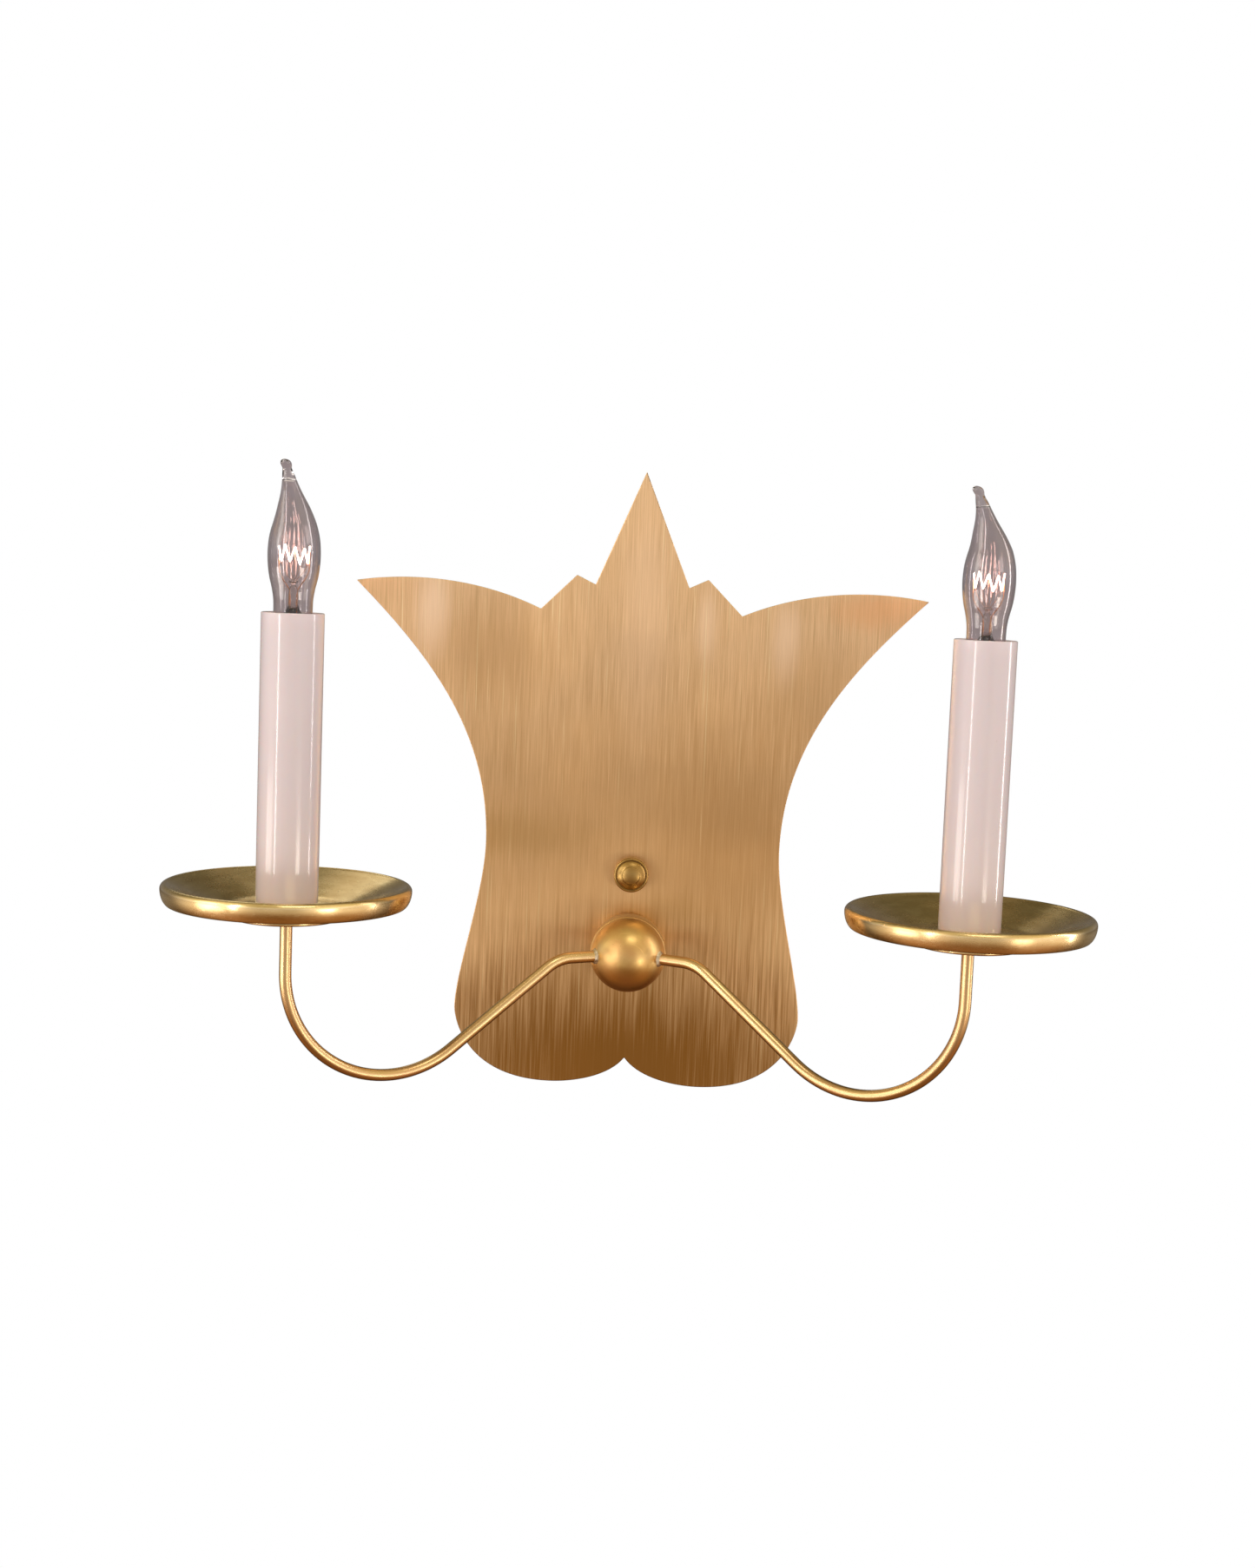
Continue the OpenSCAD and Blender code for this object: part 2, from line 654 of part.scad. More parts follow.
// Two bent leads from the stem to the filament's ends, and thin hooks to its lower corners
module bulb_supports(side) {
    color(copper) lamp_axis(side, mount_turn(side)) {
        for (i = [0, 8]) let (e = filament_corners[i], m = i == 0 ? -1 : 1)
            skin(tube_rings([[m * 1.8, 0, stem_top - 8], [m * 4.4, -1, stem_top - 2], [e[0], e[1], e[2] - 6],
                [e[0], e[1], e[2] + 0.2]], 0.3, [0, 1, 0], 6));
        for (i = [1:2:7]) let (e = filament_corners[i])
            skin(tube_rings([[e[0] * 0.12, e[1] * 0.12, stem_top - 1],
                [e[0] * 0.5, e[1] * 0.5, stem_top + 2.5], [e[0], e[1], e[2] + 0.2]], 0.2, [0, 1, 0.3], 6));
    }
}

module filament(side) {
    color("#fff2dc") lamp_axis(side, mount_turn(side))
        skin(tube_rings(filament_corners, 0.35, [0, 0.3, 1], 6));
}

// ---------------------------------------------------------------- nodes

mounting_strap();
mounting_nipple();
nipple_lock_nut();
ground_screw();
backplate();
rear_canopy();
hub_nipple();
hub_washer();
hub_lock_nut();
hub_rear_shell();
hub_front_shell();
knob_washer();
domed_cap_nut();
arm(-1);  // arm_left
arm(1);  // arm_right
solder_bead(-1);  // solder_bead_left
solder_bead(1);  // solder_bead_right
pan_seat(-1);  // pan_seat_left
pan_seat(1);  // pan_seat_right
pan(-1);  // pan_left
pan(1);  // pan_right
pan_nut(-1);  // pan_nut_left
pan_nut(1);  // pan_nut_right
socket_bracket(-1);  // socket_bracket_left
socket_bracket(1);  // socket_bracket_right
bracket_screws(-1);  // bracket_screws_left
bracket_screws(1);  // bracket_screws_right
socket_body(-1);  // socket_body_left
socket_body(1);  // socket_body_right
screw_shell(-1);  // screw_shell_left
screw_shell(1);  // screw_shell_right
centre_contact(-1);  // centre_contact_left
centre_contact(1);  // centre_contact_right
terminal_screws(-1);  // terminal_screws_left
terminal_screws(1);  // terminal_screws_right
wire(-1, -1, "#26211f");  // live_wire_left
wire(1, -1, "#26211f");  // live_wire_right
wire(-1, 1, "#e2dccb");  // neutral_wire_left
wire(1, 1, "#e2dccb");  // neutral_wire_right
connector(-1, "#c9752c");  // live_connector
connector(1, "#c9752c");  // neutral_connector
sleeve(-1);  // sleeve_left
sleeve(1);  // sleeve_right
bulb_shell(-1);  // bulb_shell_left
bulb_shell(1);  // bulb_shell_right
bulb_insulator(-1);  // bulb_insulator_left
bulb_insulator(1);  // bulb_insulator_right
bulb_contact(-1);  // bulb_contact_left
bulb_contact(1);  // bulb_contact_right
bulb_glass(-1);  // bulb_glass_left
bulb_glass(1);  // bulb_glass_right
bulb_stem(-1);  // bulb_stem_left
bulb_stem(1);  // bulb_stem_right
bulb_supports(-1);  // bulb_supports_left
bulb_supports(1);  // bulb_supports_right
filament(-1);  // filament_left
filament(1);  // filament_right
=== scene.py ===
"""Looks of a two-arm brass wall sconce with ivory candle sleeves and bent-tip flame lamps.

Metres; origin at the mounting axis on the wall plane, +X right, -Y out into the room, +Z up.
"""
import math

import bmesh
import bpy
import numpy as np
from mathutils import Matrix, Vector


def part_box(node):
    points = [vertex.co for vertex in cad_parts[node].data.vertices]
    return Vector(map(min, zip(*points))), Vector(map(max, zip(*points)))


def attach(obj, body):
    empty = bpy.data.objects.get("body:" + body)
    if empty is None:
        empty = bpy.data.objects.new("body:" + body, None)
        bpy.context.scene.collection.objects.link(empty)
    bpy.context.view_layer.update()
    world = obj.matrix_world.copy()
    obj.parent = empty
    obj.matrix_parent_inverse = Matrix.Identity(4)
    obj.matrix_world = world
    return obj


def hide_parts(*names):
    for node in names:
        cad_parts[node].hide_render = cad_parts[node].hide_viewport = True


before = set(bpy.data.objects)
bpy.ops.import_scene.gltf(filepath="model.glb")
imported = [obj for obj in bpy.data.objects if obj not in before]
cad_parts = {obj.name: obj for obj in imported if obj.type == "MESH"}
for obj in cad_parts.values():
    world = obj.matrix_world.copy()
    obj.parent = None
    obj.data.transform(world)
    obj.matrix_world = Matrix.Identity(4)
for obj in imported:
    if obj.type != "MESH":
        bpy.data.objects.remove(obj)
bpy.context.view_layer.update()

MM = 0.001
WELD = 1e-7
UP = np.array([0.0, 0.0, 1.0])
RIGHT = np.array([1.0, 0.0, 0.0])
OUT = np.array([0.0, -1.0, 0.0])
SIDES = {"left": -1, "right": 1}


# ------------------------------------------------------------------ sizes, in millimetres

PLATE_FRONT = -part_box("backplate")[0][1] / MM
PLATE_BACK = -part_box("backplate")[1][1] / MM
SLIP_R = 5.6
TAPPED_R = 5.2
BALL_OUT = 40.0
BALL_DROP = 42.2
BALL_R = 20.65
SHEET = 1.2
ARM_R = 3.175
ARM_HOLE_R = 3.25
ARM_START = 14.0
FIRST_END = 34.5
SMALL_BEND = 24.0
LARGE_BEND = 58.0
ARM_RUN = 69.0
SLOPE = math.radians(36.5)
FORWARD = math.radians(28.0)
ARM_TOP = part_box("arm_right")[1][2] / MM
PAN_R = 63.5
PAN_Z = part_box("pan_right")[1][2] / MM
PAN_DEPTH = 12.2
PAN_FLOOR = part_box("sleeve_right")[0][2] / MM
SLEEVE_R = 15.875
SLEEVE_BORE = 14.6
SLEEVE_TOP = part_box("sleeve_right")[1][2] / MM
CAP_R = 12.9
CAP_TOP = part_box("bulb_shell_right")[1][2] / MM
CAP_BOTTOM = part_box("bulb_shell_right")[0][2] / MM
NECK_R = 9.85
TIP_TURN = {"left": math.radians(66), "right": math.radians(18)}
MOUNT_TURN = {"left": math.radians(14), "right": math.radians(-12)}


def axis_of(side):
    """Point on a candle's axis at height 0: the middle of its sleeve's box."""
    low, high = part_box(f"sleeve_{side}")
    return np.array([(low[0] + high[0]) / 2, (low[1] + high[1]) / 2, 0.0])


# ------------------------------------------------------------------ shapes as whole arrays

def put_in_mesh(name, points, faces, uvs):
    """A mesh from an array of points, an array of four-cornered faces and each corner's UV.

    The sum over faces of a . (b x c) is six times the volume inside; where it is negative the faces
    are turned, so that they look outwards. Points within a tenth of a micron then become one, which
    closes seams and poles.
    """
    corners = points[faces]
    volume = 0.0
    for b, c in ((1, 2), (2, 3)):
        volume += np.einsum("ij,ij->i", corners[:, 0], np.cross(corners[:, b], corners[:, c])).sum()
    if volume < 0:
        faces = faces[:, ::-1]
        uvs = uvs[:, ::-1]
    mesh = bpy.data.meshes.new(name)
    mesh.vertices.add(len(points))
    mesh.vertices.foreach_set("co", points.astype(np.float32).ravel())
    mesh.loops.add(faces.size)
    mesh.loops.foreach_set("vertex_index", faces.astype(np.int32).ravel())
    mesh.polygons.add(len(faces))
    mesh.polygons.foreach_set("loop_start", np.arange(0, faces.size, 4, dtype=np.int32))
    mesh.update(calc_edges=True)
    layer = mesh.uv_layers.new(name="UVMap")
    layer.data.foreach_set("uv", uvs.astype(np.float32).ravel())
    bm = bmesh.new()
    bm.from_mesh(mesh)
    bmesh.ops.remove_doubles(bm, verts=bm.verts, dist=WELD)
    bm.to_mesh(mesh)
    bm.free()
    mesh.polygons.foreach_set("use_smooth", np.ones(len(mesh.polygons), dtype=bool))
    mesh.update()
    return mesh


def surface(name, grid, wrap_rows=False):
    """A grid of points, rows by columns, as a skin. Columns always join round; rows join if asked.

    U is the share of a turn and V the distance along the rows, in metres.
    """
    rows, columns = grid.shape[:2]
    count = rows if wrap_rows else rows - 1
    i = np.arange(count)[:, None]
    k = np.arange(columns)[None, :]
    i2 = (i + 1) % rows
    k2 = (k + 1) % columns
    faces = np.stack([i * columns + k, i2 * columns + k, i2 * columns + k2, i * columns + k2], axis=-1)
    steps = np.linalg.norm(np.diff(np.concatenate([grid, grid[:1]]), axis=0), axis=2).mean(axis=1)
    v = np.concatenate([[0.0], np.cumsum(steps)])
    u = np.arange(columns + 1) / columns
    uvs = np.stack(
        [
            np.stack(np.broadcast_arrays(u[k], v[i]), axis=-1),
            np.stack(np.broadcast_arrays(u[k], v[i + 1]), axis=-1),
            np.stack(np.broadcast_arrays(u[k + 1], v[i + 1]), axis=-1),
            np.stack(np.broadcast_arrays(u[k + 1], v[i]), axis=-1),
        ],
        axis=2,
    )
    return put_in_mesh(name, grid.reshape(-1, 3), faces.reshape(-1, 4), uvs.reshape(-1, 4, 2))


def cubic(a, b, c, d, n=12):
    """Points (1-t)^3 a + 3 (1-t)^2 t b + 3 (1-t) t^2 c + t^3 d for t from 0 to 1."""
    t = np.linspace(0, 1, n)[:, None]
    a, b, c, d = (np.asarray(p, float) for p in (a, b, c, d))
    return (1 - t) ** 3 * a + 3 * (1 - t) ** 2 * t * b + 3 * (1 - t) * t**2 * c + t**3 * d


def arc(centre, radius, start, end, n=12):
    """Points centre + radius (cos a, sin a), with a from start to end in degrees."""
    a = np.radians(np.linspace(start, end, n))
    return np.asarray(centre, float) + radius * np.column_stack([np.cos(a), np.sin(a)])


def soften(points, cut, steps=5):
    """Closed outline with each corner p eased to (1-t)^2 a + 2 t (1-t) p + t^2 b.

    Points a and b lie on the corner's two sides, `cut` away from it or a little under halfway along.
    """
    p = np.asarray(points, float)
    back = np.roll(p, 1, axis=0) - p
    ahead = np.roll(p, -1, axis=0) - p
    back_l = np.maximum(np.linalg.norm(back, axis=1, keepdims=True), 1e-9)
    ahead_l = np.maximum(np.linalg.norm(ahead, axis=1, keepdims=True), 1e-9)
    d = np.minimum(np.reshape(cut, (-1, 1)), 0.45 * np.minimum(back_l, ahead_l))
    a = (p + back / back_l * d)[:, None]
    b = (p + ahead / ahead_l * d)[:, None]
    t = np.linspace(0, 1, steps)[None, :, None]
    return ((1 - t) ** 2 * a + 2 * t * (1 - t) * p[:, None] + t**2 * b).reshape(-1, p.shape[1])


def turned(name, profile, centre, along=UP, side=RIGHT, closed=True, sides=128, wave=None):
    """A turned piece: centre + r (cos a side + sin a (along x side)) + h along.

    The profile is rows of (r, h) in millimetres. wave, if given, is added to r as a function of
    (angle, row).
    """
    profile = np.asarray(profile, float)
    a = np.linspace(0, 2 * np.pi, sides, endpoint=False)[None, :]
    r = np.broadcast_to(profile[:, :1], (len(profile), sides)).copy()
    if wave is not None:
        r = r + wave(a, profile)
    h = profile[:, 1][:, None, None]
    round_about = np.cos(a)[..., None] * side + np.sin(a)[..., None] * np.cross(along, side)
    grid = np.asarray(centre, float) + (r[..., None] * round_about + h * along) * MM
    return surface(name, grid, wrap_rows=closed)


def directions(path, side):
    """Side directions at each point of a path: the last one, less its part along the path."""
    tangents = np.gradient(path, axis=0)
    tangents /= np.linalg.norm(tangents, axis=1, keepdims=True)
    sides = [side]
    for t in tangents:
        s = sides[-1] - (sides[-1] @ t) * t
        sides.append(s / np.linalg.norm(s))
    return tangents, np.array(sides[1:])


def tube(name, path, radius, side=RIGHT, sides=24, end_round=0.35):
    """A round bar along a path in millimetres, with ends that close on the path itself.

    Each ring is path + r (cos a u + sin a (t x u)); r falls to 0 over two short rows at each end.
    """
    path = np.asarray(path, float)
    r = np.broadcast_to(np.asarray(radius, float), (len(path),)).copy()
    t, u = directions(path, np.asarray(side, float))
    w = np.cross(t, u)
    edge = end_round * r
    path = np.concatenate([path[:1], path[:1], path[:1] + t[:1] * edge[0], path[1:-1],
                           path[-1:] - t[-1:] * edge[-1], path[-1:], path[-1:]])
    r = np.concatenate([[0], [r[0] - edge[0]], [r[0]], r[1:-1], [r[-1]], [r[-1] - edge[-1]], [0]])
    u = np.concatenate([u[:1], u[:1], u, u[-1:], u[-1:]])
    w = np.concatenate([w[:1], w[:1], w, w[-1:], w[-1:]])
    a = np.linspace(0, 2 * np.pi, sides, endpoint=False)[None, :, None]
    grid = path[:, None] + r[:, None, None] * (np.cos(a) * u[:, None] + np.sin(a) * w[:, None])
    return surface(name, grid * MM)


def piece(mesh, body, material, slot, *nodes):
    """Shows a mesh as a piece that rides on a body and stands for the named CAD nodes."""
    thing = bpy.data.objects.new(mesh.name, mesh)
    bpy.context.scene.collection.objects.link(thing)
    mesh.materials.append(material)
    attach(thing, body)
    if nodes:
        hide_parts(*nodes)


# ------------------------------------------------------------------ node trees

class Wiring:
    """Adds nodes to a tree and joins their sockets."""

    def __init__(self, tree):
        self.tree = tree

    def add(self, kind, values=None, **traits):
        """A node of a kind, with its traits set and its sockets joined or given plain values."""
        node = self.tree.nodes.new(kind)
        for key, value in traits.items():
            setattr(node, key, value)
        for key, value in (values or {}).items():
            if isinstance(value, bpy.types.NodeSocket):
                self.tree.links.new(value, node.inputs[key])
            else:
                node.inputs[key].default_value = value
        return node

    def math(self, operation, a, b=0.0, clamp=False):
        """One sum on two numbers."""
        return self.add("ShaderNodeMath", {0: a, 1: b}, operation=operation, use_clamp=clamp).outputs[0]

    def remap(self, value, low, high, to_low=0.0, to_high=1.0):
        """A straight ramp from (low, high) to (to_low, to_high), held at its ends."""
        node = self.add("ShaderNodeMapRange", {0: value, 1: low, 2: high, 3: to_low, 4: to_high})
        return node.outputs[0]

    def mix(self, share, a, b):
        """Colour a, with a share of colour b over it."""
        return self.add("ShaderNodeMix", {0: share, 6: a, 7: b}, data_type="RGBA").outputs[2]

    def stretched(self, vector, scale):
        """Coordinates times a scale along each axis."""
        return self.add("ShaderNodeMapping", {0: vector, "Scale": scale}).outputs[0]

    def noise(self, vector, scale, detail=3.0, rough=0.55):
        """Cloudy noise from 0 to 1."""
        node = self.add("ShaderNodeTexNoise", {"Vector": vector, "Scale": scale, "Detail": detail,
                                               "Roughness": rough})
        return node.outputs["Fac"]


def new_group(name, inputs, outputs):
    """An empty shader group with named sockets: a vector or number in, numbers out."""
    group = bpy.data.node_groups.new(name, "ShaderNodeTree")
    for label, kind, value in inputs:
        socket = group.interface.new_socket(label, in_out="INPUT", socket_type=kind)
        if value is not None:
            socket.default_value = value
    for label in outputs:
        group.interface.new_socket(label, in_out="OUTPUT", socket_type="NodeSocketFloat")
    w = Wiring(group)
    return group, w, w.add("NodeGroupInput").outputs, w.add("NodeGroupOutput").inputs


def brushed_group():
    """Grain of a brushed face. The vector comes in stretched, so that one unit is one stroke's width."""
    group, w, get, put = new_group(
        "Brushed grain",
        [("Vector", "NodeSocketVector", None), ("Scratch level", "NodeSocketFloat", 0.66)],
        ["Fine", "Broad", "Scratches", "Height"],
    )
    fine = w.noise(get["Vector"], 1.0, 4.0, 0.7)
    broad = w.noise(get["Vector"], 0.11, 2.0, 0.5)
    deep = w.noise(get["Vector"], 0.5, 2.0, 0.5)
    scratches = w.remap(deep, get["Scratch level"], w.math("ADD", get["Scratch level"], 0.07))
    w.tree.links.new(fine, put["Fine"])
    w.tree.links.new(broad, put["Broad"])
    w.tree.links.new(scratches, put["Scratches"])
    w.tree.links.new(w.math("SUBTRACT", fine, w.math("MULTIPLY", scratches, 0.5)), put["Height"])
    return group


def tarnish_group():
    """Clouds and specks of tarnish over a piece, in object space."""
    group, w, get, put = new_group(
        "Tarnish",
        [("Vector", "NodeSocketVector", None), ("Cloud size", "NodeSocketFloat", 40.0),
         ("Speck size", "NodeSocketFloat", 900.0), ("Speck level", "NodeSocketFloat", 0.7)],
        ["Clouds", "Specks"],
    )
    clouds = w.noise(get["Vector"], get["Cloud size"], 5.0, 0.6)
    w.tree.links.new(w.remap(clouds, 0.38, 0.68), put["Clouds"])
    grains = w.noise(get["Vector"], get["Speck size"], 2.0, 0.5)
    specks = w.remap(grains, get["Speck level"], w.math("ADD", get["Speck level"], 0.05))
    w.tree.links.new(w.math("MULTIPLY", specks, w.remap(clouds, 0.45, 0.6)), put["Specks"])
    return group


def patch_group():
    """One soft-edged oval: 1 at its centre, 0 past its size, with a grain-broken edge."""
    group, w, get, put = new_group(
        "Soft patch",
        [("Vector", "NodeSocketVector", None), ("Centre", "NodeSocketVector", None),
         ("Size", "NodeSocketVector", None)],
        ["Mask"],
    )
    away = w.add("ShaderNodeVectorMath", {0: get["Vector"], 1: get["Centre"]}, operation="SUBTRACT")
    share = w.add("ShaderNodeVectorMath", {0: away.outputs[0], 1: get["Size"]}, operation="DIVIDE")
    far = w.add("ShaderNodeVectorMath", {0: share.outputs[0]}, operation="LENGTH").outputs["Value"]
    grain = w.noise(w.stretched(get["Vector"], (900, 900, 20)), 1.0, 3.0)
    edge = w.math("ADD", far, w.math("MULTIPLY", w.math("SUBTRACT", grain, 0.5), 0.9))
    soft = w.add("ShaderNodeMapRange", {0: edge, 1: 0.15, 2: 1.15, 3: 1.0, 4: 0.0},
                 interpolation_type="SMOOTHSTEP")
    w.tree.links.new(soft.outputs[0], put["Mask"])
    return group


BRUSHED = brushed_group()
PATCH = patch_group()
TARNISH = tarnish_group()


def new_finish(name):
    """A bare material: its wiring, its Principled shader and its object coordinates."""
    material = bpy.data.materials.new(name)
    material.use_nodes = True
    w = Wiring(material.node_tree)
    shader = material.node_tree.nodes["Principled BSDF"]
    places = w.add("ShaderNodeTexCoord").outputs
    return material, w, shader, places


def connect(w, shader, links, bump=None, strength=0.2, distance=0.0002):
    """Joins values to the shader's sockets, and a height through a Bump node."""
    for label, value in links.items():
        w.tree.links.new(value, shader.inputs[label])
    if bump is not None:
        node = w.add("ShaderNodeBump", {"Height": bump, "Strength": strength, "Distance": distance})
        w.tree.links.new(node.outputs[0], shader.inputs["Normal"])


def settings(shader, **values):
    """Plain numbers and colours on the shader's own sockets."""
    for label, value in values.items():
        shader.inputs[label.replace("_", " ")].default_value = value


SPECK = (0.05, 0.03, 0.015, 1)
SCRATCH_GAIN = (1.5, 1.5, 1.6)
SCRATCH_SHARE = 0.35


def brass(name, pale, deep, stained, source, stretch, rough=(0.24, 0.36), grain=0.1, anisotropy=0.0,
          clouds=40.0, stain=0.5, specks=0.4, bump=0.12, axis=None):
    """Lacquered brass: pale and deep strokes of the grain, clouds of stain and a few dark specks.

    With an axis, highlights stretch along the UV map's tangent, turned by that share of a turn.
    """
    material, w, shader, places = new_finish(name)
    vector = w.stretched(places[source], stretch)
    g = w.add("ShaderNodeGroup", {"Vector": vector}, node_tree=BRUSHED).outputs
    t = w.add("ShaderNodeGroup", {"Vector": places["Object"], "Cloud size": clouds},
              node_tree=TARNISH).outputs
    tone = w.math("ADD", w.math("MULTIPLY", w.remap(g["Broad"], 0.3, 0.7), 1 - grain),
                  w.math("MULTIPLY", w.remap(g["Fine"], 0.3, 0.7), grain), clamp=True)
    colour = w.mix(tone, (*deep, 1), (*pale, 1))
    colour = w.mix(w.math("MULTIPLY", t["Clouds"], stain), colour, (*stained, 1))
    colour = w.mix(w.math("MULTIPLY", t["Specks"], specks), colour, SPECK)
    bright = [min(1, c * gain) for c, gain in zip(pale, SCRATCH_GAIN)]
    colour = w.mix(w.math("MULTIPLY", g["Scratches"], SCRATCH_SHARE), colour, (*bright, 1))
    roughness = w.remap(w.math("ADD", w.math("MULTIPLY", g["Fine"], 0.5),
                               w.math("MULTIPLY", t["Clouds"], 0.5)), 0.2, 0.8, *rough)
    connect(w, shader, {"Base Color": colour, "Roughness": roughness}, g["Height"], bump, 0.0001)
    settings(shader, Metallic=1.0, Anisotropic=anisotropy)
    if axis is not None:
        tangent = w.add("ShaderNodeTangent", direction_type="UV_MAP", uv_map="UVMap")
        w.tree.links.new(tangent.outputs[0], shader.inputs["Tangent"])
        settings(shader, Anisotropic_Rotation=axis)
    return material


def plate_with_painted_light():
    """The plate's brass, with soft pale and dark patches of painted light over its grain: painted
    highlights and reflections near the top, a painted reflection and shadow of the left pan across the
    waist, and painted shade elsewhere, darkest over the lower lobes.
    """
    material = brass("plate_brass_painted_light", (0.94, 0.66, 0.40), (0.56, 0.36, 0.18), (0.62, 0.38, 0.18),
                     "Object", (2100, 2100, 24), rough=(0.28, 0.38), grain=0.85, anisotropy=0.6,
                     clouds=12.0, stain=0.25, specks=0.0, bump=0.1, axis=0.0)
    w = Wiring(material.node_tree)
    shader = material.node_tree.nodes["Principled BSDF"]
    place = w.add("ShaderNodeTexCoord").outputs["Object"]
    colour = shader.inputs["Base Color"].links[0].from_socket
    # Each patch is a centre and a size in millimetres, a share and a tone. They are painted light on the
    # sheet: pale ones are painted highlights and reflections, dark ones painted shade and shadow.
    for centre, size, strength, tone in (
        # Pale streaks near the top: painted highlights and reflections.
        ((-116, 143), (12, 34), 0.75, (0.93, 0.70, 0.50, 1)),
        ((2, 140), (18, 95), 0.40, (0.90, 0.64, 0.42, 1)),
        ((37, 140), (8, 26), 0.55, (0.92, 0.68, 0.47, 1)),
        ((81, 132), (10, 32), 0.70, (0.93, 0.69, 0.48, 1)),
        # Darker patches from here on: painted shade and shadow.
        ((-84, 122), (44, 34), 0.40, (0.52, 0.31, 0.14, 1)),
        ((100, 100), (40, 40), 0.40, (0.50, 0.30, 0.13, 1)),
        # Band across the waist: painted reflection and shadow of the left pan.
        ((-72, 20), (66, 17), 0.50, (0.46, 0.30, 0.12, 1)),
        ((20, -20), (30, 12), 0.30, (0.42, 0.27, 0.08, 1)),
        ((0, 10), (150, 130), 0.55, (0.50, 0.29, 0.12, 1)),
        ((60, 20), (60, 90), 0.40, (0.40, 0.22, 0.08, 1)),
        # Lower lobes: painted shade, darkest of all.
        ((0, -112), (190, 84), 0.95, (0.20, 0.085, 0.012, 1)),
        ((128, 152), (30, 14), 0.50, (0.80, 0.42, 0.20, 1)),
    ):
        patch = w.add("ShaderNodeGroup", {"Vector": place, "Centre": (centre[0] * MM, 0, centre[1] * MM),
                                          "Size": (size[0] * MM, 1, size[1] * MM)}, node_tree=PATCH)
        colour = w.mix(w.math("MULTIPLY", patch.outputs[0], strength), colour, tone)
    w.tree.links.new(colour, shader.inputs["Base Color"])
    return material


PLATE_BRASS = plate_with_painted_light()
SPUN_BRASS = brass("spun_pan_brass", (0.86, 0.70, 0.42), (0.58, 0.43, 0.20), (0.56, 0.34, 0.17),
                   "UV", (150, 1500, 1), rough=(0.22, 0.34), grain=0.25, anisotropy=0.7,
                   clouds=28.0, stain=0.4, specks=0.7, bump=0.06, axis=0.25)
KNOB_BRASS = brass("tarnished_knob_brass", (0.40, 0.27, 0.10), (0.30, 0.18, 0.055), (0.24, 0.12, 0.035),
                   "UV", (3, 900, 1), rough=(0.30, 0.42), grain=0.2, clouds=90.0, stain=0.6,
                   specks=0.4, bump=0.03)
BALL_BRASS = brass("spun_ball_brass", (0.66, 0.48, 0.20), (0.54, 0.36, 0.14), (0.50, 0.26, 0.11),
                   "UV", (5, 700, 1), rough=(0.30, 0.44), grain=0.2, clouds=60.0, stain=0.6,
                   specks=0.5, bump=0.03)
ARM_BRASS = brass("drawn_tube_brass", (0.66, 0.50, 0.28), (0.54, 0.39, 0.20), (0.56, 0.31, 0.17),
                  "UV", (12, 12, 1), rough=(0.24, 0.34), grain=0.25, clouds=45.0, stain=0.5,
                  specks=0.5, bump=0.015)
STAMPED_BRASS = brass("stamped_brass", (0.72, 0.55, 0.27), (0.60, 0.43, 0.19), (0.42, 0.28, 0.14),
                      "Object", (700, 700, 700), rough=(0.28, 0.42), clouds=70.0, stain=0.4)


def steel_finish(name, pale, dark, rough):
    """Zinc plate or soft metal: crystal patches of two greys with fine grit."""
    material, w, shader, places = new_finish(name)
    t = w.add("ShaderNodeGroup", {"Vector": places["Object"], "Cloud size": 160.0},
              node_tree=TARNISH).outputs
    grit = w.noise(places["Object"], 2500.0, 2.0)
    colour = w.mix(t["Clouds"], (*dark, 1), (*pale, 1))
    connect(w, shader, {"Base Color": colour, "Roughness": w.remap(grit, 0.3, 0.7, rough, rough + 0.15)},
            grit, 0.2, 0.00005)
    settings(shader, Metallic=1.0)
    return material


def moulded_finish(name, colour, other, rough):
    """Moulded or painted piece: two close tones in soft clouds, with a fine skin texture."""
    material, w, shader, places = new_finish(name)
    t = w.add("ShaderNodeGroup", {"Vector": places["Object"], "Cloud size": 120.0},
              node_tree=TARNISH).outputs
    skin = w.noise(places["Object"], 900.0)
    connect(w, shader, {"Base Color": w.mix(t["Clouds"], (*colour, 1), (*other, 1)),
                        "Roughness": w.remap(skin, 0.3, 0.7, rough, rough + 0.12)},
            skin, 0.15, 0.00005)
    return material


ZINC = steel_finish("zinc_plated_steel", (0.60, 0.60, 0.58), (0.44, 0.44, 0.43), 0.32)
SOLDER = steel_finish("soft_solder", (0.66, 0.60, 0.50), (0.36, 0.28, 0.18), 0.42)
GREEN = moulded_finish("green_screw_paint", (0.03, 0.20, 0.06), (0.04, 0.26, 0.09), 0.3)
PHENOLIC = moulded_finish("dark_phenolic", (0.035, 0.022, 0.016), (0.06, 0.035, 0.022), 0.35)
BLACK_WIRE = moulded_finish("black_insulation", (0.02, 0.019, 0.018), (0.035, 0.033, 0.03), 0.4)
WHITE_WIRE = moulded_finish("white_insulation", (0.72, 0.69, 0.60), (0.62, 0.59, 0.50), 0.4)
ORANGE = moulded_finish("orange_connector", (0.62, 0.20, 0.04), (0.50, 0.15, 0.03), 0.38)
BLACK_GLASS = moulded_finish("black_lamp_glass", (0.014, 0.012, 0.016), (0.02, 0.02, 0.024), 0.08)


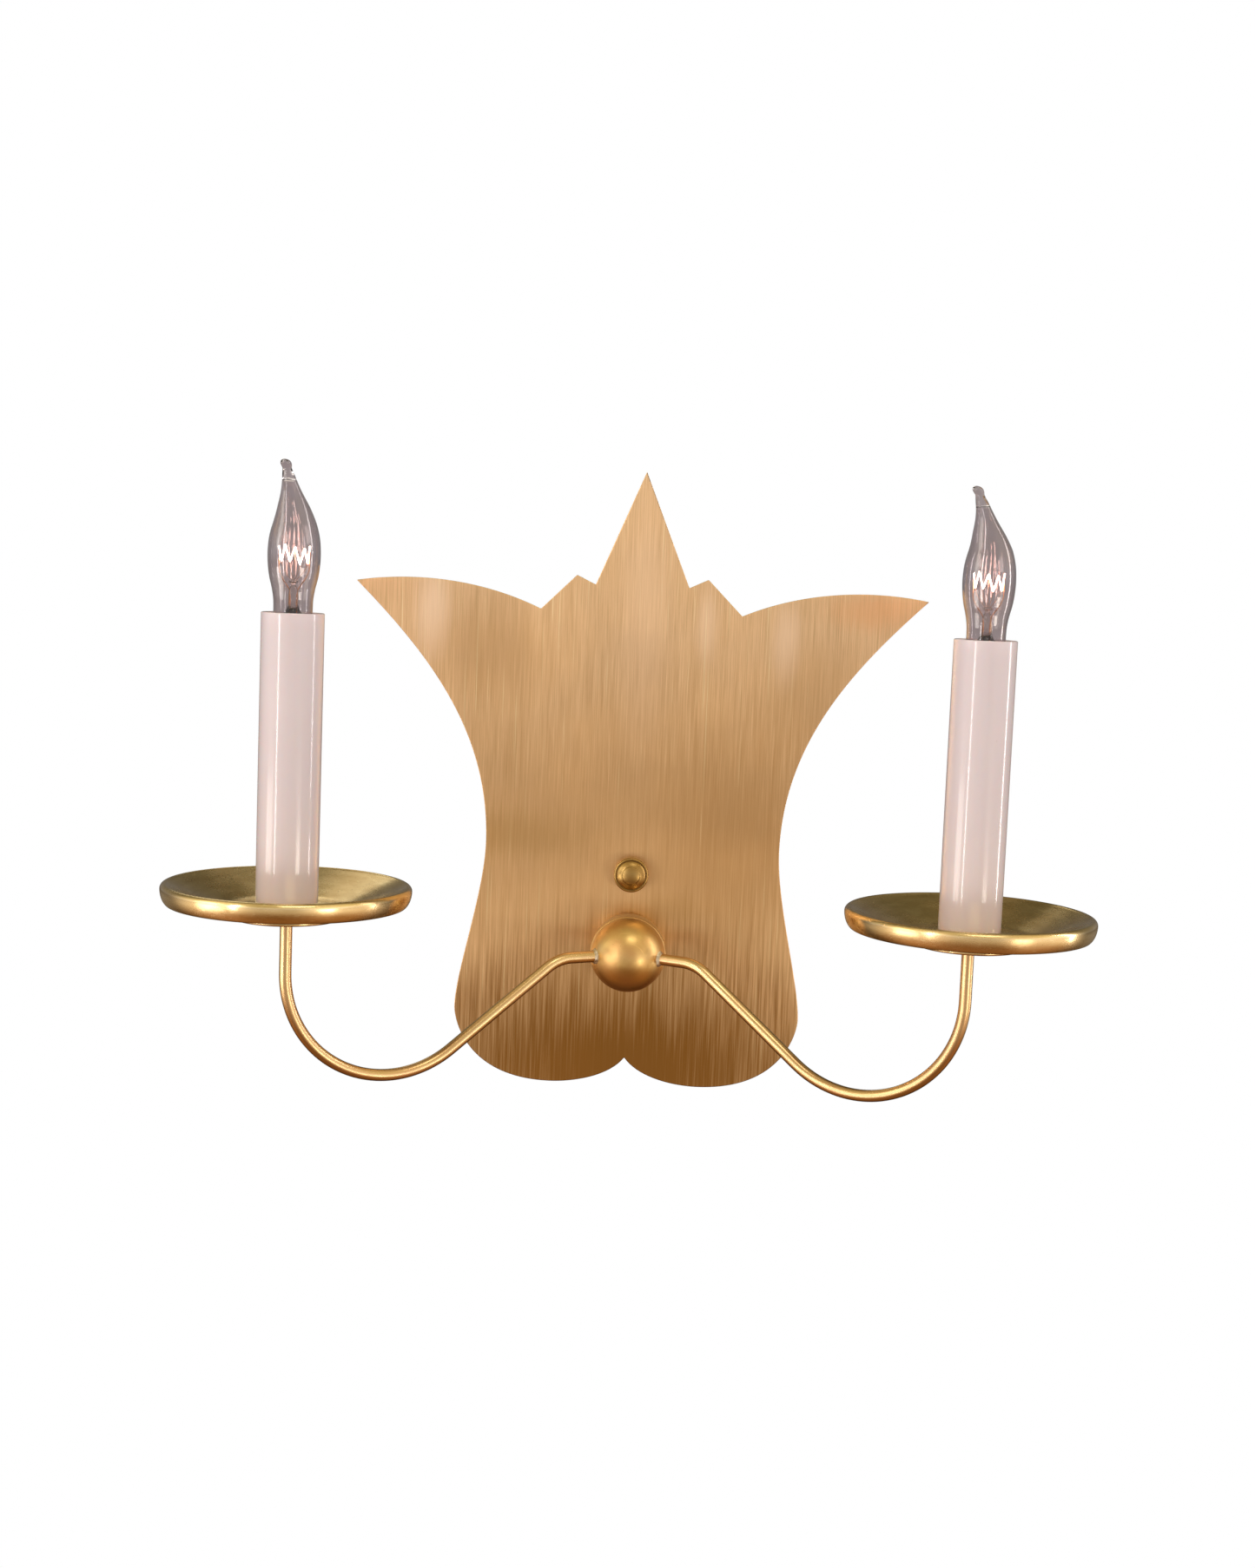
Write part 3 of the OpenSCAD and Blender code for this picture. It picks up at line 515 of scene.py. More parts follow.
def ivory_finish():
    """Glossy moulded sleeve: faint pink-cream clouds, a few tiny dark specks, a slight orange-peel skin."""
    material, w, shader, places = new_finish("ivory_sleeve_plastic")
    t = w.add("ShaderNodeGroup", {"Vector": places["Object"], "Cloud size": 14.0, "Speck size": 420.0,
                                  "Speck level": 0.765}, node_tree=TARNISH).outputs
    colour = w.mix(t["Clouds"], (0.72, 0.61, 0.62, 1), (0.75, 0.635, 0.64, 1))
    colour = w.mix(w.math("MULTIPLY", t["Specks"], 0.5), colour, (0.25, 0.17, 0.13, 1))
    peel = w.noise(places["Object"], 260.0, 2.0)
    connect(w, shader, {"Base Color": colour, "Roughness": w.remap(peel, 0.3, 0.7, 0.13, 0.2)},
            peel, 0.05, 0.0002)
    settings(shader, Specular_IOR_Level=0.6, Subsurface_Weight=0.15, Subsurface_Scale=0.004,
             Coat_Weight=0.5, Coat_Roughness=0.06)
    return material


def glass_finish(name, tint, rough, streak):
    """Clear glass with faint drawn lines running along the lamp, and painted shade that darkens it where
    its skin turns away from the view.
    """
    material, w, shader, places = new_finish(name)
    lines = w.noise(w.stretched(places["Object"], (260, 260, 14)), 1.0, 2.0)
    colour = w.mix(lines, (*tint, 1), (*[min(1, c * 1.06) for c in tint], 1))
    # Painted shade: the glass's colour darkens towards its edges as seen from the view, standing in for the
    # dark room that those edges reflect and bend.
    facing = w.add("ShaderNodeLayerWeight", {"Blend": 0.35}).outputs["Facing"]
    colour = w.mix(w.remap(facing, 0.25, 0.9, 0, 0.75), colour, (*[c * 0.42 for c in tint], 1))
    connect(w, shader, {"Base Color": colour, "Roughness": w.remap(lines, 0.3, 0.7, rough, rough + 0.03)},
            lines, streak, 0.0004)
    settings(shader, Transmission_Weight=1.0, IOR=1.5)
    return material


def copper_finish():
    """Copper-clad wire, brighter where it has been drawn."""
    material, w, shader, places = new_finish("copper_clad_wire")
    tone = w.noise(places["Object"], 900.0, 2.0)
    colour = w.mix(tone, (0.55, 0.24, 0.12, 1), (0.85, 0.48, 0.30, 1))
    connect(w, shader, {"Base Color": colour, "Roughness": w.remap(tone, 0.3, 0.7, 0.2, 0.4)})
    settings(shader, Metallic=1.0)
    return material


def glowing_finish():
    """Lit filament: white-hot with warmer patches."""
    material, w, shader, places = new_finish("lit_tungsten")
    heat = w.noise(places["Object"], 500.0, 2.0)
    glow = w.mix(w.remap(heat, 0.35, 0.65), (1.0, 0.50, 0.36, 1), (1.0, 0.86, 0.78, 1))
    connect(w, shader, {"Emission Color": glow, "Base Color": glow})
    settings(shader, Emission_Strength=26.0, Roughness=0.5)
    return material


IVORY = ivory_finish()
LAMP_GLASS = glass_finish("lamp_flame_glass", (0.84, 0.81, 0.82), 0.0, 0.12)
STEM_GLASS = glass_finish("lamp_stem_glass", (0.90, 0.84, 0.80), 0.02, 0.1)
COPPER = copper_finish()
TUNGSTEN = glowing_finish()


# ------------------------------------------------------------------ plate

def plate_outline():
    """Half outline of straight points and cubic curves, mirrored in x, each corner eased by 0.5 mm."""
    half = np.concatenate([
        [[0.0, 224.0], [26, 161], [36.5, 166]],
        cubic([56, 146.5], [88, 161], [125, 164.5], [159, 158.5], 28)[:-1],
        cubic([159, 158.5], [118, 119], [82.5, 77], [82.5, 15], 48)[:-1],
        cubic([82.5, 15], [82.5, -14], [97.5, -60], [97.5, -80], 30)[:-1],
        cubic([97.5, -80], [97.5, -88], [90, -121.3], [42, -121.3], 40)[:-1],
        cubic([42, -121.3], [27.5, -121.3], [8, -117], [0, -106], 18),
    ])
    whole = np.concatenate([half, half[1:-1][::-1] * [-1, 1]])
    return soften(whole, 0.5, 3)


def shifted(loop, inset):
    """A closed loop moved inwards along the mean of each corner's two side normals, mitred."""
    ahead = np.roll(loop, -1, axis=0) - loop
    ahead /= np.maximum(np.linalg.norm(ahead, axis=1, keepdims=True), 1e-9)
    back = np.roll(ahead, 1, axis=0)
    n1 = np.column_stack([ahead[:, 1], -ahead[:, 0]])
    n2 = np.column_stack([back[:, 1], -back[:, 0]])
    spread = 1 + (n1 * n2).sum(axis=1, keepdims=True)
    return loop + inset * (n1 + n2) / np.maximum(spread, 0.25)


def plate_mesh():
    """A sheet with a rounded arris along its outline and two holes, its faces filled between them."""
    arris = 0.35
    outer = plate_outline()
    a = np.linspace(0, 2 * np.pi, 48, endpoint=False)
    circle = np.column_stack([np.cos(a), np.sin(a)])
    holes = [circle * SLIP_R, circle * TAPPED_R + [0, -BALL_DROP]]
    t = np.linspace(0, np.pi / 2, 5)
    front = [(arris * (1 - np.sin(s)), PLATE_FRONT - arris * (1 - np.cos(s))) for s in t]
    profile = front + [(d, PLATE_BACK + PLATE_FRONT - y) for d, y in front[::-1]]
    bm = bmesh.new()
    caps = ([], [])
    for loop, sign in [(outer, 1)] + [(h, -1) for h in holes]:
        x, z = loop.T
        clockwise = np.sum(x * np.roll(z, -1) - z * np.roll(x, -1)) < 0
        inwards = sign if clockwise else -sign
        rings = []
        for inset, y in profile:
            flat = shifted(loop, inwards * inset)
            rings.append([bm.verts.new((x * MM, -y * MM, z * MM)) for x, z in flat])
        n = len(loop)
        for one, two in zip(rings, rings[1:]):
            for k in range(n):
                face = bm.faces.new((one[k], two[k], two[(k + 1) % n], one[(k + 1) % n]))
                face.smooth = True
        for cap, ring in zip(caps, (rings[0], rings[-1])):
            cap.extend(bm.edges.get((ring[k], ring[(k + 1) % n])) for k in range(n))
    for cap in caps:
        bmesh.ops.triangle_fill(bm, use_beauty=True, use_dissolve=False, edges=cap)
    bmesh.ops.recalc_face_normals(bm, faces=bm.faces)
    mesh = bpy.data.meshes.new("crown_plate")
    bm.to_mesh(mesh)
    bm.free()
    layer = mesh.uv_layers.new(name="UVMap")
    corners = np.empty(len(mesh.loops), dtype=np.int32)
    mesh.loops.foreach_get("vertex_index", corners)
    points = np.empty(len(mesh.vertices) * 3, dtype=np.float32)
    mesh.vertices.foreach_get("co", points)
    layer.data.foreach_set("uv", points.reshape(-1, 3)[corners][:, [0, 2]].ravel())
    return mesh


piece(plate_mesh(), "fixture", PLATE_BRASS, "plate_brass", "backplate")


# ------------------------------------------------------------------ hub

BALL_CENTRE = np.array([0.0, 0.0, -BALL_DROP]) * MM


def rear_cup():
    """Rear half: flat seat, round shoulder, straight wall and a lip at the seam."""
    corner = 9.0
    lip = 0.6
    seam = BALL_OUT
    low = PLATE_FRONT
    return np.concatenate([
        [[TAPPED_R, low]],
        arc([BALL_R - corner, low + corner], corner, -90, 0, 20),
        arc([BALL_R - lip / 2, seam - lip], lip, -60, 60, 8),
        [[BALL_R - SHEET, seam - 0.05]],
        arc([BALL_R - corner, low + corner], corner - SHEET, 0, -90, 16),
        [[TAPPED_R, low + SHEET]],
    ])


def front_cup():
    """Front half: a quarter circle turned round, with the wall's inner quarter circle behind it."""
    return np.concatenate([
        arc([0, BALL_OUT], BALL_R, 0, 90, 48),
        arc([0, BALL_OUT], BALL_R - SHEET, 90, 0, 24),
    ])


def cap_nut():
    """Necked body, rounded lip, fine groove and domed face, with a blind bore."""
    washer = 1.0
    outline = np.concatenate([
        [[TAPPED_R, 0], [8.6, 0], [8.45, 0.6], [8.2, 1.0], [8.2, 2.4]],
        cubic([8.2, 2.4], [8.2, 4.4], [9.7, 4.4], [9.7, 6.2], 12),
        arc([8.7, 6.4], 1, 0, 85, 10),
        [[8.62, 7.2], [8.5, 6.8], [8.25, 6.8], [8.12, 7.25]],
        cubic([8.0, 7.4], [6.6, 9.2], [3.6, 10.3], [0, 10.5], 26),
        [[0, 9.6], [TAPPED_R, 9.6]],
    ])
    return outline + [0, PLATE_FRONT + washer]


piece(turned("hub_rear_cup", rear_cup(), BALL_CENTRE, OUT), "fixture", BALL_BRASS, "spun_brass",
      "hub_rear_shell")
piece(turned("hub_ball_face", front_cup(), BALL_CENTRE, OUT, sides=160), "fixture", BALL_BRASS,
      "spun_brass", "hub_front_shell")
piece(turned("domed_cap_nut_face", cap_nut(), np.zeros(3), OUT), "cap_nut", KNOB_BRASS, "spun_brass",
      "domed_cap_nut")


# ------------------------------------------------------------------ arms

def in_arm(side, s, h):
    """A point in the arm's plane: s out along it and h above the ball's centre."""
    s, h = np.broadcast_arrays(np.asarray(s, float), h)
    x = SIDES[side] * s * math.cos(FORWARD)
    y = -BALL_OUT - s * math.sin(FORWARD)
    return np.stack([x, y, h - BALL_DROP], axis=-1)


def arm_path(side):
    """Level end, small arc down, straight slope, large arc up and upright end, as one line."""
    a = np.linspace(0, SLOPE, 16)
    s1 = FIRST_END + SMALL_BEND * np.sin(a)
    h1 = -SMALL_BEND * (1 - np.cos(a))
    s2 = s1[-1] + ARM_RUN * math.cos(SLOPE)
    h2 = h1[-1] - ARM_RUN * math.sin(SLOPE)
    b = np.linspace(-SLOPE, math.pi / 2, 56)
    s3 = s2 + LARGE_BEND * (math.sin(SLOPE) + np.sin(b))
    h3 = h2 - LARGE_BEND * (np.cos(b) - math.cos(SLOPE))
    start = np.linspace(ARM_START, FIRST_END, 10)[:-1]
    slope = np.linspace(0, 1, 24)[1:-1]
    rise = np.linspace(h3[-1], ARM_TOP + BALL_DROP, 16)[1:]
    s = np.concatenate([start, s1, s1[-1] + slope * (s2 - s1[-1]), s3, np.full(len(rise), s3[-1])])
    h = np.concatenate([0 * start, h1, h1[-1] + slope * (h2 - h1[-1]), h3, rise])
    return in_arm(side, s, h)


def bead_wave(a, profile):
    """Lumps of a hand-soldered ring: a sum of three waves round it, fading at its ends."""
    height = profile[:, 1:2] - profile[:, 1:2].min()
    fade = np.sin(np.pi * np.clip(height / height.max(), 0, 1))
    return fade * (0.22 * np.sin(3 * a + 0.7) + 0.14 * np.sin(5 * a + height * 3) + 0.08 * np.sin(9 * a))


for side, m in SIDES.items():
    across = np.array([m * math.sin(FORWARD), math.cos(FORWARD), 0.0])
    outward = np.array([m * math.cos(FORWARD), -math.sin(FORWARD), 0.0])
    piece(tube(f"arm_tube_{side}", arm_path(side), ARM_R, across, 40, 0.1), "fixture", ARM_BRASS,
          "drawn_brass", f"arm_{side}")
    foot = math.sqrt(BALL_R**2 - ARM_R**2)
    bead = np.concatenate([
        [[ARM_R - 0.4, foot - 0.6]],
        cubic([ARM_R + 1.4, foot - 0.6], [ARM_R + 1.2, foot + 0.1], [ARM_R + 0.4, foot + 0.5],
              [ARM_R + 0.2, foot + 1.2], 14),
        [[ARM_R - 0.4, foot + 1.4]],
    ])
    centre = in_arm(side, 0.0, 0.0) * MM
    piece(turned(f"solder_ring_{side}", bead, centre, outward, UP, sides=72, wave=bead_wave), "fixture",
          SOLDER, "solder", f"solder_bead_{side}")


# ------------------------------------------------------------------ pans, seats and sleeves

def pan_profile():
    """Flat floor, sloping well, rounded crest, and a fascia whose foot turns in."""
    r = PAN_R
    floor_r = 33.0
    crest = 2.6
    deep = 10.2
    top = np.array([0, PAN_Z])
    inner = soften([[ARM_HOLE_R, -PAN_DEPTH], [floor_r, -PAN_DEPTH], [r - 4.2, -0.6], [r - 3.4, -0.1]],
                   [0, 2.5, 0.8, 0], 8)
    under = soften([[r - 4, -2.1], [floor_r + 0.3, -PAN_DEPTH - SHEET], [ARM_HOLE_R, -PAN_DEPTH - SHEET]],
                   [0, 2.5, 0], 8)
    return np.concatenate([
        inner,
        arc([r - crest, -crest], crest, 95, 0, 16),
        cubic([r, -crest], [r, -5.4], [r - 0.9, -8.6], [r - 2.7, -deep], 16)[1:],
        arc([r - 3.3, 0.55 - deep], 0.6, 0, -180, 7)[1:-1],
        cubic([r - 3.9, -deep], [r - 2.1, -8.4], [r - SHEET, -5.2], [r - SHEET, -crest], 12),
        arc([r - crest, -crest], crest - SHEET, 0, 90, 8)[1:],
        under,
    ]) + top


def seat_profile():
    """Shallow cup with a rounded foot and a boss round the arm."""
    tall = 4.0
    return np.array([0, PAN_Z - PAN_DEPTH - SHEET - tall]) + np.concatenate([
        [[ARM_HOLE_R, 0], [27.2, 0]],
        arc([27.5, 1], 1, -80, 0, 8),
        [[28.5, tall - 0.4], [28.3, tall], [27.4, tall], [27.3, SHEET], [8, SHEET], [8, tall],
         [ARM_HOLE_R, tall]],
    ])


def sleeve_profile():
    """Plain tube with a rounded lip."""
    lip = (SLEEVE_R - SLEEVE_BORE) / 2 - 0.02
    top = SLEEVE_TOP - lip
    rows = 24
    heights = np.linspace(PAN_FLOOR + 0.3, top, rows)
    return np.concatenate([
        [[SLEEVE_BORE, PAN_FLOOR], [SLEEVE_R - 0.25, PAN_FLOOR]],
        np.column_stack([np.full(rows, SLEEVE_R), heights]),
        arc([SLEEVE_R - lip, top], lip, 0, 180, 14)[1:],
        np.column_stack([np.full(rows, SLEEVE_BORE), heights[::-1]]),
    ])


for side in SIDES:
    centre = axis_of(side)
    piece(turned(f"drip_pan_{side}", pan_profile(), centre, sides=256), "fixture", SPUN_BRASS,
          "spun_brass", f"pan_{side}")
    piece(turned(f"seat_cup_{side}", seat_profile(), centre), "fixture", SPUN_BRASS,
          "spun_brass", f"pan_seat_{side}")
    piece(turned(f"candle_tube_{side}", sleeve_profile(), centre), f"candle_sleeve_{side}",
          IVORY, "ivory_sleeve", f"sleeve_{side}")


# ------------------------------------------------------------------ lamps

BEND_START = 44.0
BEND_SPAN = 26.0
BEND_REACH = 7.2
GLASS_WALL = 0.7
FILAMENT_R = 7.8
FILAMENT_LOW = 24.0
FILAMENT_HIGH = 33.8
CAP_WALL = 0.35
THREAD_DEPTH = 0.33
THREAD_PITCH = 3.63

# Height above the sleeve's top and radius of the flame's outer skin
FLAME = np.array([
    [-7.5, 9.6], [-3, 9.8], [2, 9.8], [7, 10], [12, 10.8], [17, 12], [22, 12.8], [28, 13.2], [34, 13],
    [39, 12.3], [44, 11], [48.5, 9.5], [53, 7.9], [57, 6.3], [61, 4.9], [65, 3.8], [68.5, 3.0],
    [70.6, 2.45], [71.6, 2.3], [72.6, 2.6], [73.8, 2.75], [74.9, 2.3], [75.6, 1.4], [75.9, 0.0],
])


def smooth_rows(table, n):
    """Cubic curve through a table's rows, with slopes taken from the neighbours (Catmull-Rom)."""
    p = np.concatenate([2 * table[:1] - table[1:2], table, 2 * table[-1:] - table[-2:-1]])
    at = np.linspace(0, len(table) - 1 - 1e-9, n)
    i = at.astype(int)
    t = (at - i)[:, None]
    a, b, c, d = p[i], p[i + 1], p[i + 2], p[i + 3]
    return 0.5 * (2 * b + (c - a) * t + (2 * a - 5 * b + 4 * c - d) * t**2 + (3 * b - a - 3 * c + d) * t**3)


def lean(h):
    """Sideways bend of the flame's tip: 0 up to the bend's start, then growing as a power 1.5."""
    return BEND_REACH * np.clip((h - BEND_START) / BEND_SPAN, 0, None) ** 1.5


def about_lamp(side, turn, x, y, h):
    """A point beside a lamp's axis, turned about it, h above the sleeve's top."""
    x, y, h = np.broadcast_arrays(np.asarray(x, float), y, h)
    centre = axis_of(side) / MM
    return np.stack([centre[0] + x * math.cos(turn) - y * math.sin(turn),
                     centre[1] + x * math.sin(turn) + y * math.cos(turn), SLEEVE_TOP + h], axis=-1)


def flame_mesh(side):
    """Thin flame of glass: an inner skin one wall inside the outer one, joined at its open foot.

    Radius at height h is taken from FLAME; near the bend it swells and dips by 4.5% three times round,
    as drawn glass does.
    """
    outer = smooth_rows(FLAME, 150)
    outer[-1] = FLAME[-1]
    inner = outer[outer[:, 0] < 66] - [0, GLASS_WALL]
    end = np.array([[inner[-1, 0] + 1.5, 0.0]])
    rows = np.concatenate([end, inner[::-1], outer])
    a = np.linspace(0, 2 * np.pi, 96, endpoint=False)[None, :]
    h = rows[:, :1]
    fold = 0.045 * np.exp(-(((h - 58) / 9) ** 2))
    r = np.clip(rows[:, 1:2], 0, None) * (1 + fold * np.cos(3 * a + 0.08 * h))
    grid = about_lamp(side, TIP_TURN[side], -lean(h) + r * np.cos(a), r * np.sin(a), h)
    return surface(f"flame_glass_{side}", grid * MM)


def stem_profile():
    """Flared foot, narrow tube, pinched top and a button."""
    foot = -6.5
    top = 16.5
    return np.array([0, SLEEVE_TOP]) + np.concatenate([
        [[0, foot], [8.4, foot]],
        cubic([8.5, foot + 0.3], [8, foot + 5], [3, foot + 5], [2.6, foot + 11], 16),
        cubic([2.6, foot + 11], [2.5, top - 8], [2.6, top - 5], [1.2, top - 3], 10)[1:],
        cubic([1.2, top - 1.8], [3.3, top - 1.6], [3.2, top], [0, top], 14),
    ])


def filament_corners():
    """Corners of the zigzag: nine points on an arc of 150 degrees, high and low in turn.

    Each corner stops short of its height by 0.9 (1 + sin 2.3 i), so the loops are uneven.
    """
    i = np.arange(9)
    a = np.radians(195 + 150 * i / 8)
    sag = 0.9 * (1 + np.sin(2.3 * i))
    h = np.where(i % 2 == 0, FILAMENT_HIGH - sag, FILAMENT_LOW + sag)
    return np.column_stack([FILAMENT_R * np.cos(a), 0.8 * FILAMENT_R * np.sin(a), h])


def coiled(corners, radius, pitch, per_turn=8):
    """A line wound round the zigzag: base(s) + radius (cos q u + sin q v), with q = 2 pi s / pitch."""
    lengths = np.linalg.norm(np.diff(corners, axis=0), axis=1)
    total = lengths.sum()
    s = np.linspace(0, total, int(total / pitch * per_turn))
    at = np.concatenate([[0], np.cumsum(lengths)])
    base = np.column_stack([np.interp(s, at, corners[:, c]) for c in range(3)])
    along = np.gradient(base, axis=0)
    along /= np.linalg.norm(along, axis=1, keepdims=True)
    u = np.cross(along, [0.31, 0.9, 0.1])
    u /= np.linalg.norm(u, axis=1, keepdims=True)
    q = (2 * np.pi * s / pitch)[:, None]
    return base + radius * (np.cos(q) * u + np.sin(q) * np.cross(along, u))


def at_lamp(side, points):
    """Points of a lamp's mount, turned as that lamp's mount is and set above its sleeve."""
    points = np.asarray(points, float)
    return about_lamp(side, MOUNT_TURN[side], points[:, 0], points[:, 1], points[:, 2])


def joined(name, meshes):
    """Several meshes as one."""
    bm = bmesh.new()
    for mesh in meshes:
        bm.from_mesh(mesh)
    whole = bpy.data.meshes.new(name)
    bm.to_mesh(whole)
    bm.free()
    return whole


def lamp_wires(side):
    """Two leads that rise beside the stem and bend out to the filament's ends, and a fan of hooks."""
    corners = filament_corners()
    wires = []
    for i, m in ((0, -1), (8, 1)):
        e = corners[i]
        wires.append(tube(f"lead_{i}", at_lamp(side, np.concatenate([
            [[m * 1.3, 0, -5.5], [m * 1.2, 0, 4.0]],
            cubic([m * 1.2, 0, 8.0], [m * 1.6, 0, 13.5], [m * 5.6, -1.2, 14.5], [e[0], e[1], 21.5], 14),
            [[e[0], e[1], e[2] + 0.5]],
        ])), 0.28, sides=10))
    for i in range(1, 8, 2):
        e = corners[i]
        wires.append(tube(f"hook_{i}", at_lamp(side, cubic(
            [e[0] * 0.1, e[1] * 0.1, 15.6], [e[0] * 0.4, e[1] * 0.4, 18], [e[0] * 0.9, e[1] * 0.9, 21],
            [e[0], e[1], e[2] + 0.4], 10)), 0.13, sides=8))
    e = corners[4]
    wires.append(tube("hook_4", at_lamp(side, cubic(
        [0, -0.3, 15.8], [0, -2.4, 19], [0, e[1], 26], [e[0], e[1], e[2] + 0.3], 10)), 0.13, sides=8))
    return joined(f"lead_and_support_wires_{side}", wires)


def cap_wave(a, profile):
    """Rolled thread: a wave inwards, once per pitch of height and once round, fading at its ends."""
    h = profile[:, 1:2]
    middle = np.clip((h - CAP_BOTTOM - 1.5) / 1.5, 0, 1) * np.clip((CAP_TOP - 5.0 - h) / 1.5, 0, 1)
    return middle * THREAD_DEPTH * (np.sin(2 * np.pi * h / THREAD_PITCH - a) - 1)


def cap_profile():
    """Screw cap: straight threaded wall, shoulder and neck, of thin sheet."""
    t = CAP_WALL
    rows = 64
    outer = np.column_stack([np.full(rows, CAP_R), np.linspace(CAP_BOTTOM, CAP_TOP - 4, rows)])
    return np.concatenate([
        outer,
        [[NECK_R + t + 0.3, CAP_TOP - 0.9], [NECK_R + t, CAP_TOP - 0.5], [NECK_R + t, CAP_TOP],
         [NECK_R, CAP_TOP], [NECK_R, CAP_TOP - 0.8], [CAP_R - t, CAP_TOP - 4.2]],
        outer[::-1] - [t, 0],
    ])


for side in SIDES:
    body = f"lamp_{side}"
    centre = axis_of(side)
    piece(flame_mesh(side), body, LAMP_GLASS, "lamp_glass", f"bulb_glass_{side}")
    piece(turned(f"lamp_stem_{side}", stem_profile(), centre, closed=False, sides=64), body, STEM_GLASS,
          "stem_glass", f"bulb_stem_{side}")
    piece(lamp_wires(side), body, COPPER, "support_wire", f"bulb_supports_{side}")
    piece(tube(f"lit_filament_{side}", at_lamp(side, coiled(filament_corners(), 0.26, 0.62)), 0.16,
               sides=6), body, TUNGSTEN, "tungsten", f"filament_{side}")
    piece(turned(f"lamp_screw_cap_{side}", cap_profile(), centre, sides=96, wave=cap_wave), body,
          STAMPED_BRASS, "plain_brass", f"bulb_shell_{side}")


# ------------------------------------------------------------------ CAD pieces that stay

KEPT = {
    "mounting_strap": ZINC, "mounting_nipple": STAMPED_BRASS, "nipple_lock_nut": ZINC,
    "ground_screw": GREEN, "rear_canopy": STAMPED_BRASS, "hub_nipple": STAMPED_BRASS,
    "hub_washer": ZINC, "hub_lock_nut": ZINC, "knob_washer": STAMPED_BRASS,
    "live_connector": ORANGE, "neutral_connector": ORANGE,
}
KEPT_PAIRS = {
    "pan_nut": ZINC, "socket_bracket": ZINC, "bracket_screws": ZINC, "socket_body": PHENOLIC,
    "screw_shell": STAMPED_BRASS, "centre_contact": STAMPED_BRASS, "terminal_screws": STAMPED_BRASS,
    "live_wire": BLACK_WIRE, "neutral_wire": WHITE_WIRE, "bulb_insulator": BLACK_GLASS,
    "bulb_contact": SOLDER,
}
KEPT.update({f"{name}_{side}": finish for name, finish in KEPT_PAIRS.items() for side in SIDES})
for name, finish in KEPT.items():
    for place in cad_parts[name].material_slots:
        place.material = finish


# ------------------------------------------------------------------ floor, light and camera

WHITE = (1.0, 1.0, 1.0, 1)


def pale(tree, other):
    """Surface that the camera sees plain white, and that lights and reflections see as `other`."""
    w = Wiring(tree)
    seen = w.add("ShaderNodeEmission", {"Color": WHITE, "Strength": 1.0})
    path = w.add("ShaderNodeLightPath")
    return w, w.add("ShaderNodeMixShader", {0: path.outputs["Is Camera Ray"], 1: other(w),
                                            2: seen.outputs[0]})


def clear(w):
    """Lets light and reflections pass, so that metal mirrors the room and not the floor."""
    return w.add("ShaderNodeBsdfTransparent").outputs[0]


bpy.ops.mesh.primitive_grid_add(x_subdivisions=4, y_subdivisions=4, size=60, location=(0, 0, -1.3))
floor = bpy.context.object
floor.name = "floor"
floor_paint = bpy.data.materials.new("pale_floor")
floor_paint.use_nodes = True
floor_paint.node_tree.nodes.clear()
w, floor_shader = pale(floor_paint.node_tree, clear)
w.add("ShaderNodeOutputMaterial", {"Surface": floor_shader.outputs[0]})
floor.data.materials.append(floor_paint)


def room(w):
    """What metal mirrors: brown and pale bands low down, pale at eye level, olive above.

    It is dim behind and bright beside. Rays that scatter off a matt face see a soft white instead, and
    rays that have passed through glass see a smoky grey.
    """
    at = w.add("ShaderNodeSeparateXYZ", {0: w.add("ShaderNodeTexCoord").outputs["Generated"]}).outputs
    ramp = w.add("ShaderNodeValToRGB", {0: w.remap(at[2], -1, 1)})
    points = ramp.color_ramp.elements
    points[0].color = (0.30, 0.12, 0.035, 1)
    points[1].color = (0.75, 0.62, 0.34, 1)
    for height, colour in (
        (-0.58, (0.28, 0.12, 0.03, 1)),
        (-0.36, (0.74, 0.58, 0.40, 1)),
        (-0.22, (0.92, 0.80, 0.64, 1)),
        (-0.10, (0.40, 0.30, 0.20, 1)),
        (0.03, (0.95, 0.90, 0.88, 1)),
        (0.3, (0.85, 0.75, 0.56, 1)),
        (0.6, (0.60, 0.50, 0.26, 1)),
    ):
        points.new((height + 1) / 2).color = colour
    behind = w.remap(at[1], -0.05, 0.45, 1.0, 0.19)
    beside = w.remap(w.math("ABSOLUTE", at[0]), 0.3, 0.6, 1.0, 1.7)
    mirrored = w.add("ShaderNodeBackground", {"Color": ramp.outputs[0],
                                              "Strength": w.math("MULTIPLY", behind, beside)})
    soft = w.add("ShaderNodeBackground", {"Color": (1.0, 0.965, 0.985, 1), "Strength": 0.54})
    smoky = w.add("ShaderNodeBackground", {"Color": (0.33, 0.285, 0.285, 1), "Strength": 1.0})
    path = w.add("ShaderNodeLightPath").outputs
    lit = w.add("ShaderNodeMixShader", {0: path["Is Diffuse Ray"], 1: mirrored.outputs[0],
                                        2: soft.outputs[0]})
    through = w.math("GREATER_THAN", path["Transmission Depth"], 0.5)
    return w.add("ShaderNodeMixShader", {0: through, 1: lit.outputs[0], 2: smoky.outputs[0]}).outputs[0]


world = bpy.data.worlds.new("studio")
bpy.context.scene.world = world
world.use_nodes = True
world.node_tree.nodes.clear()
w, world_shader = pale(world.node_tree, room)
w.add("ShaderNodeOutputWorld", {"Surface": world_shader.outputs[0]})


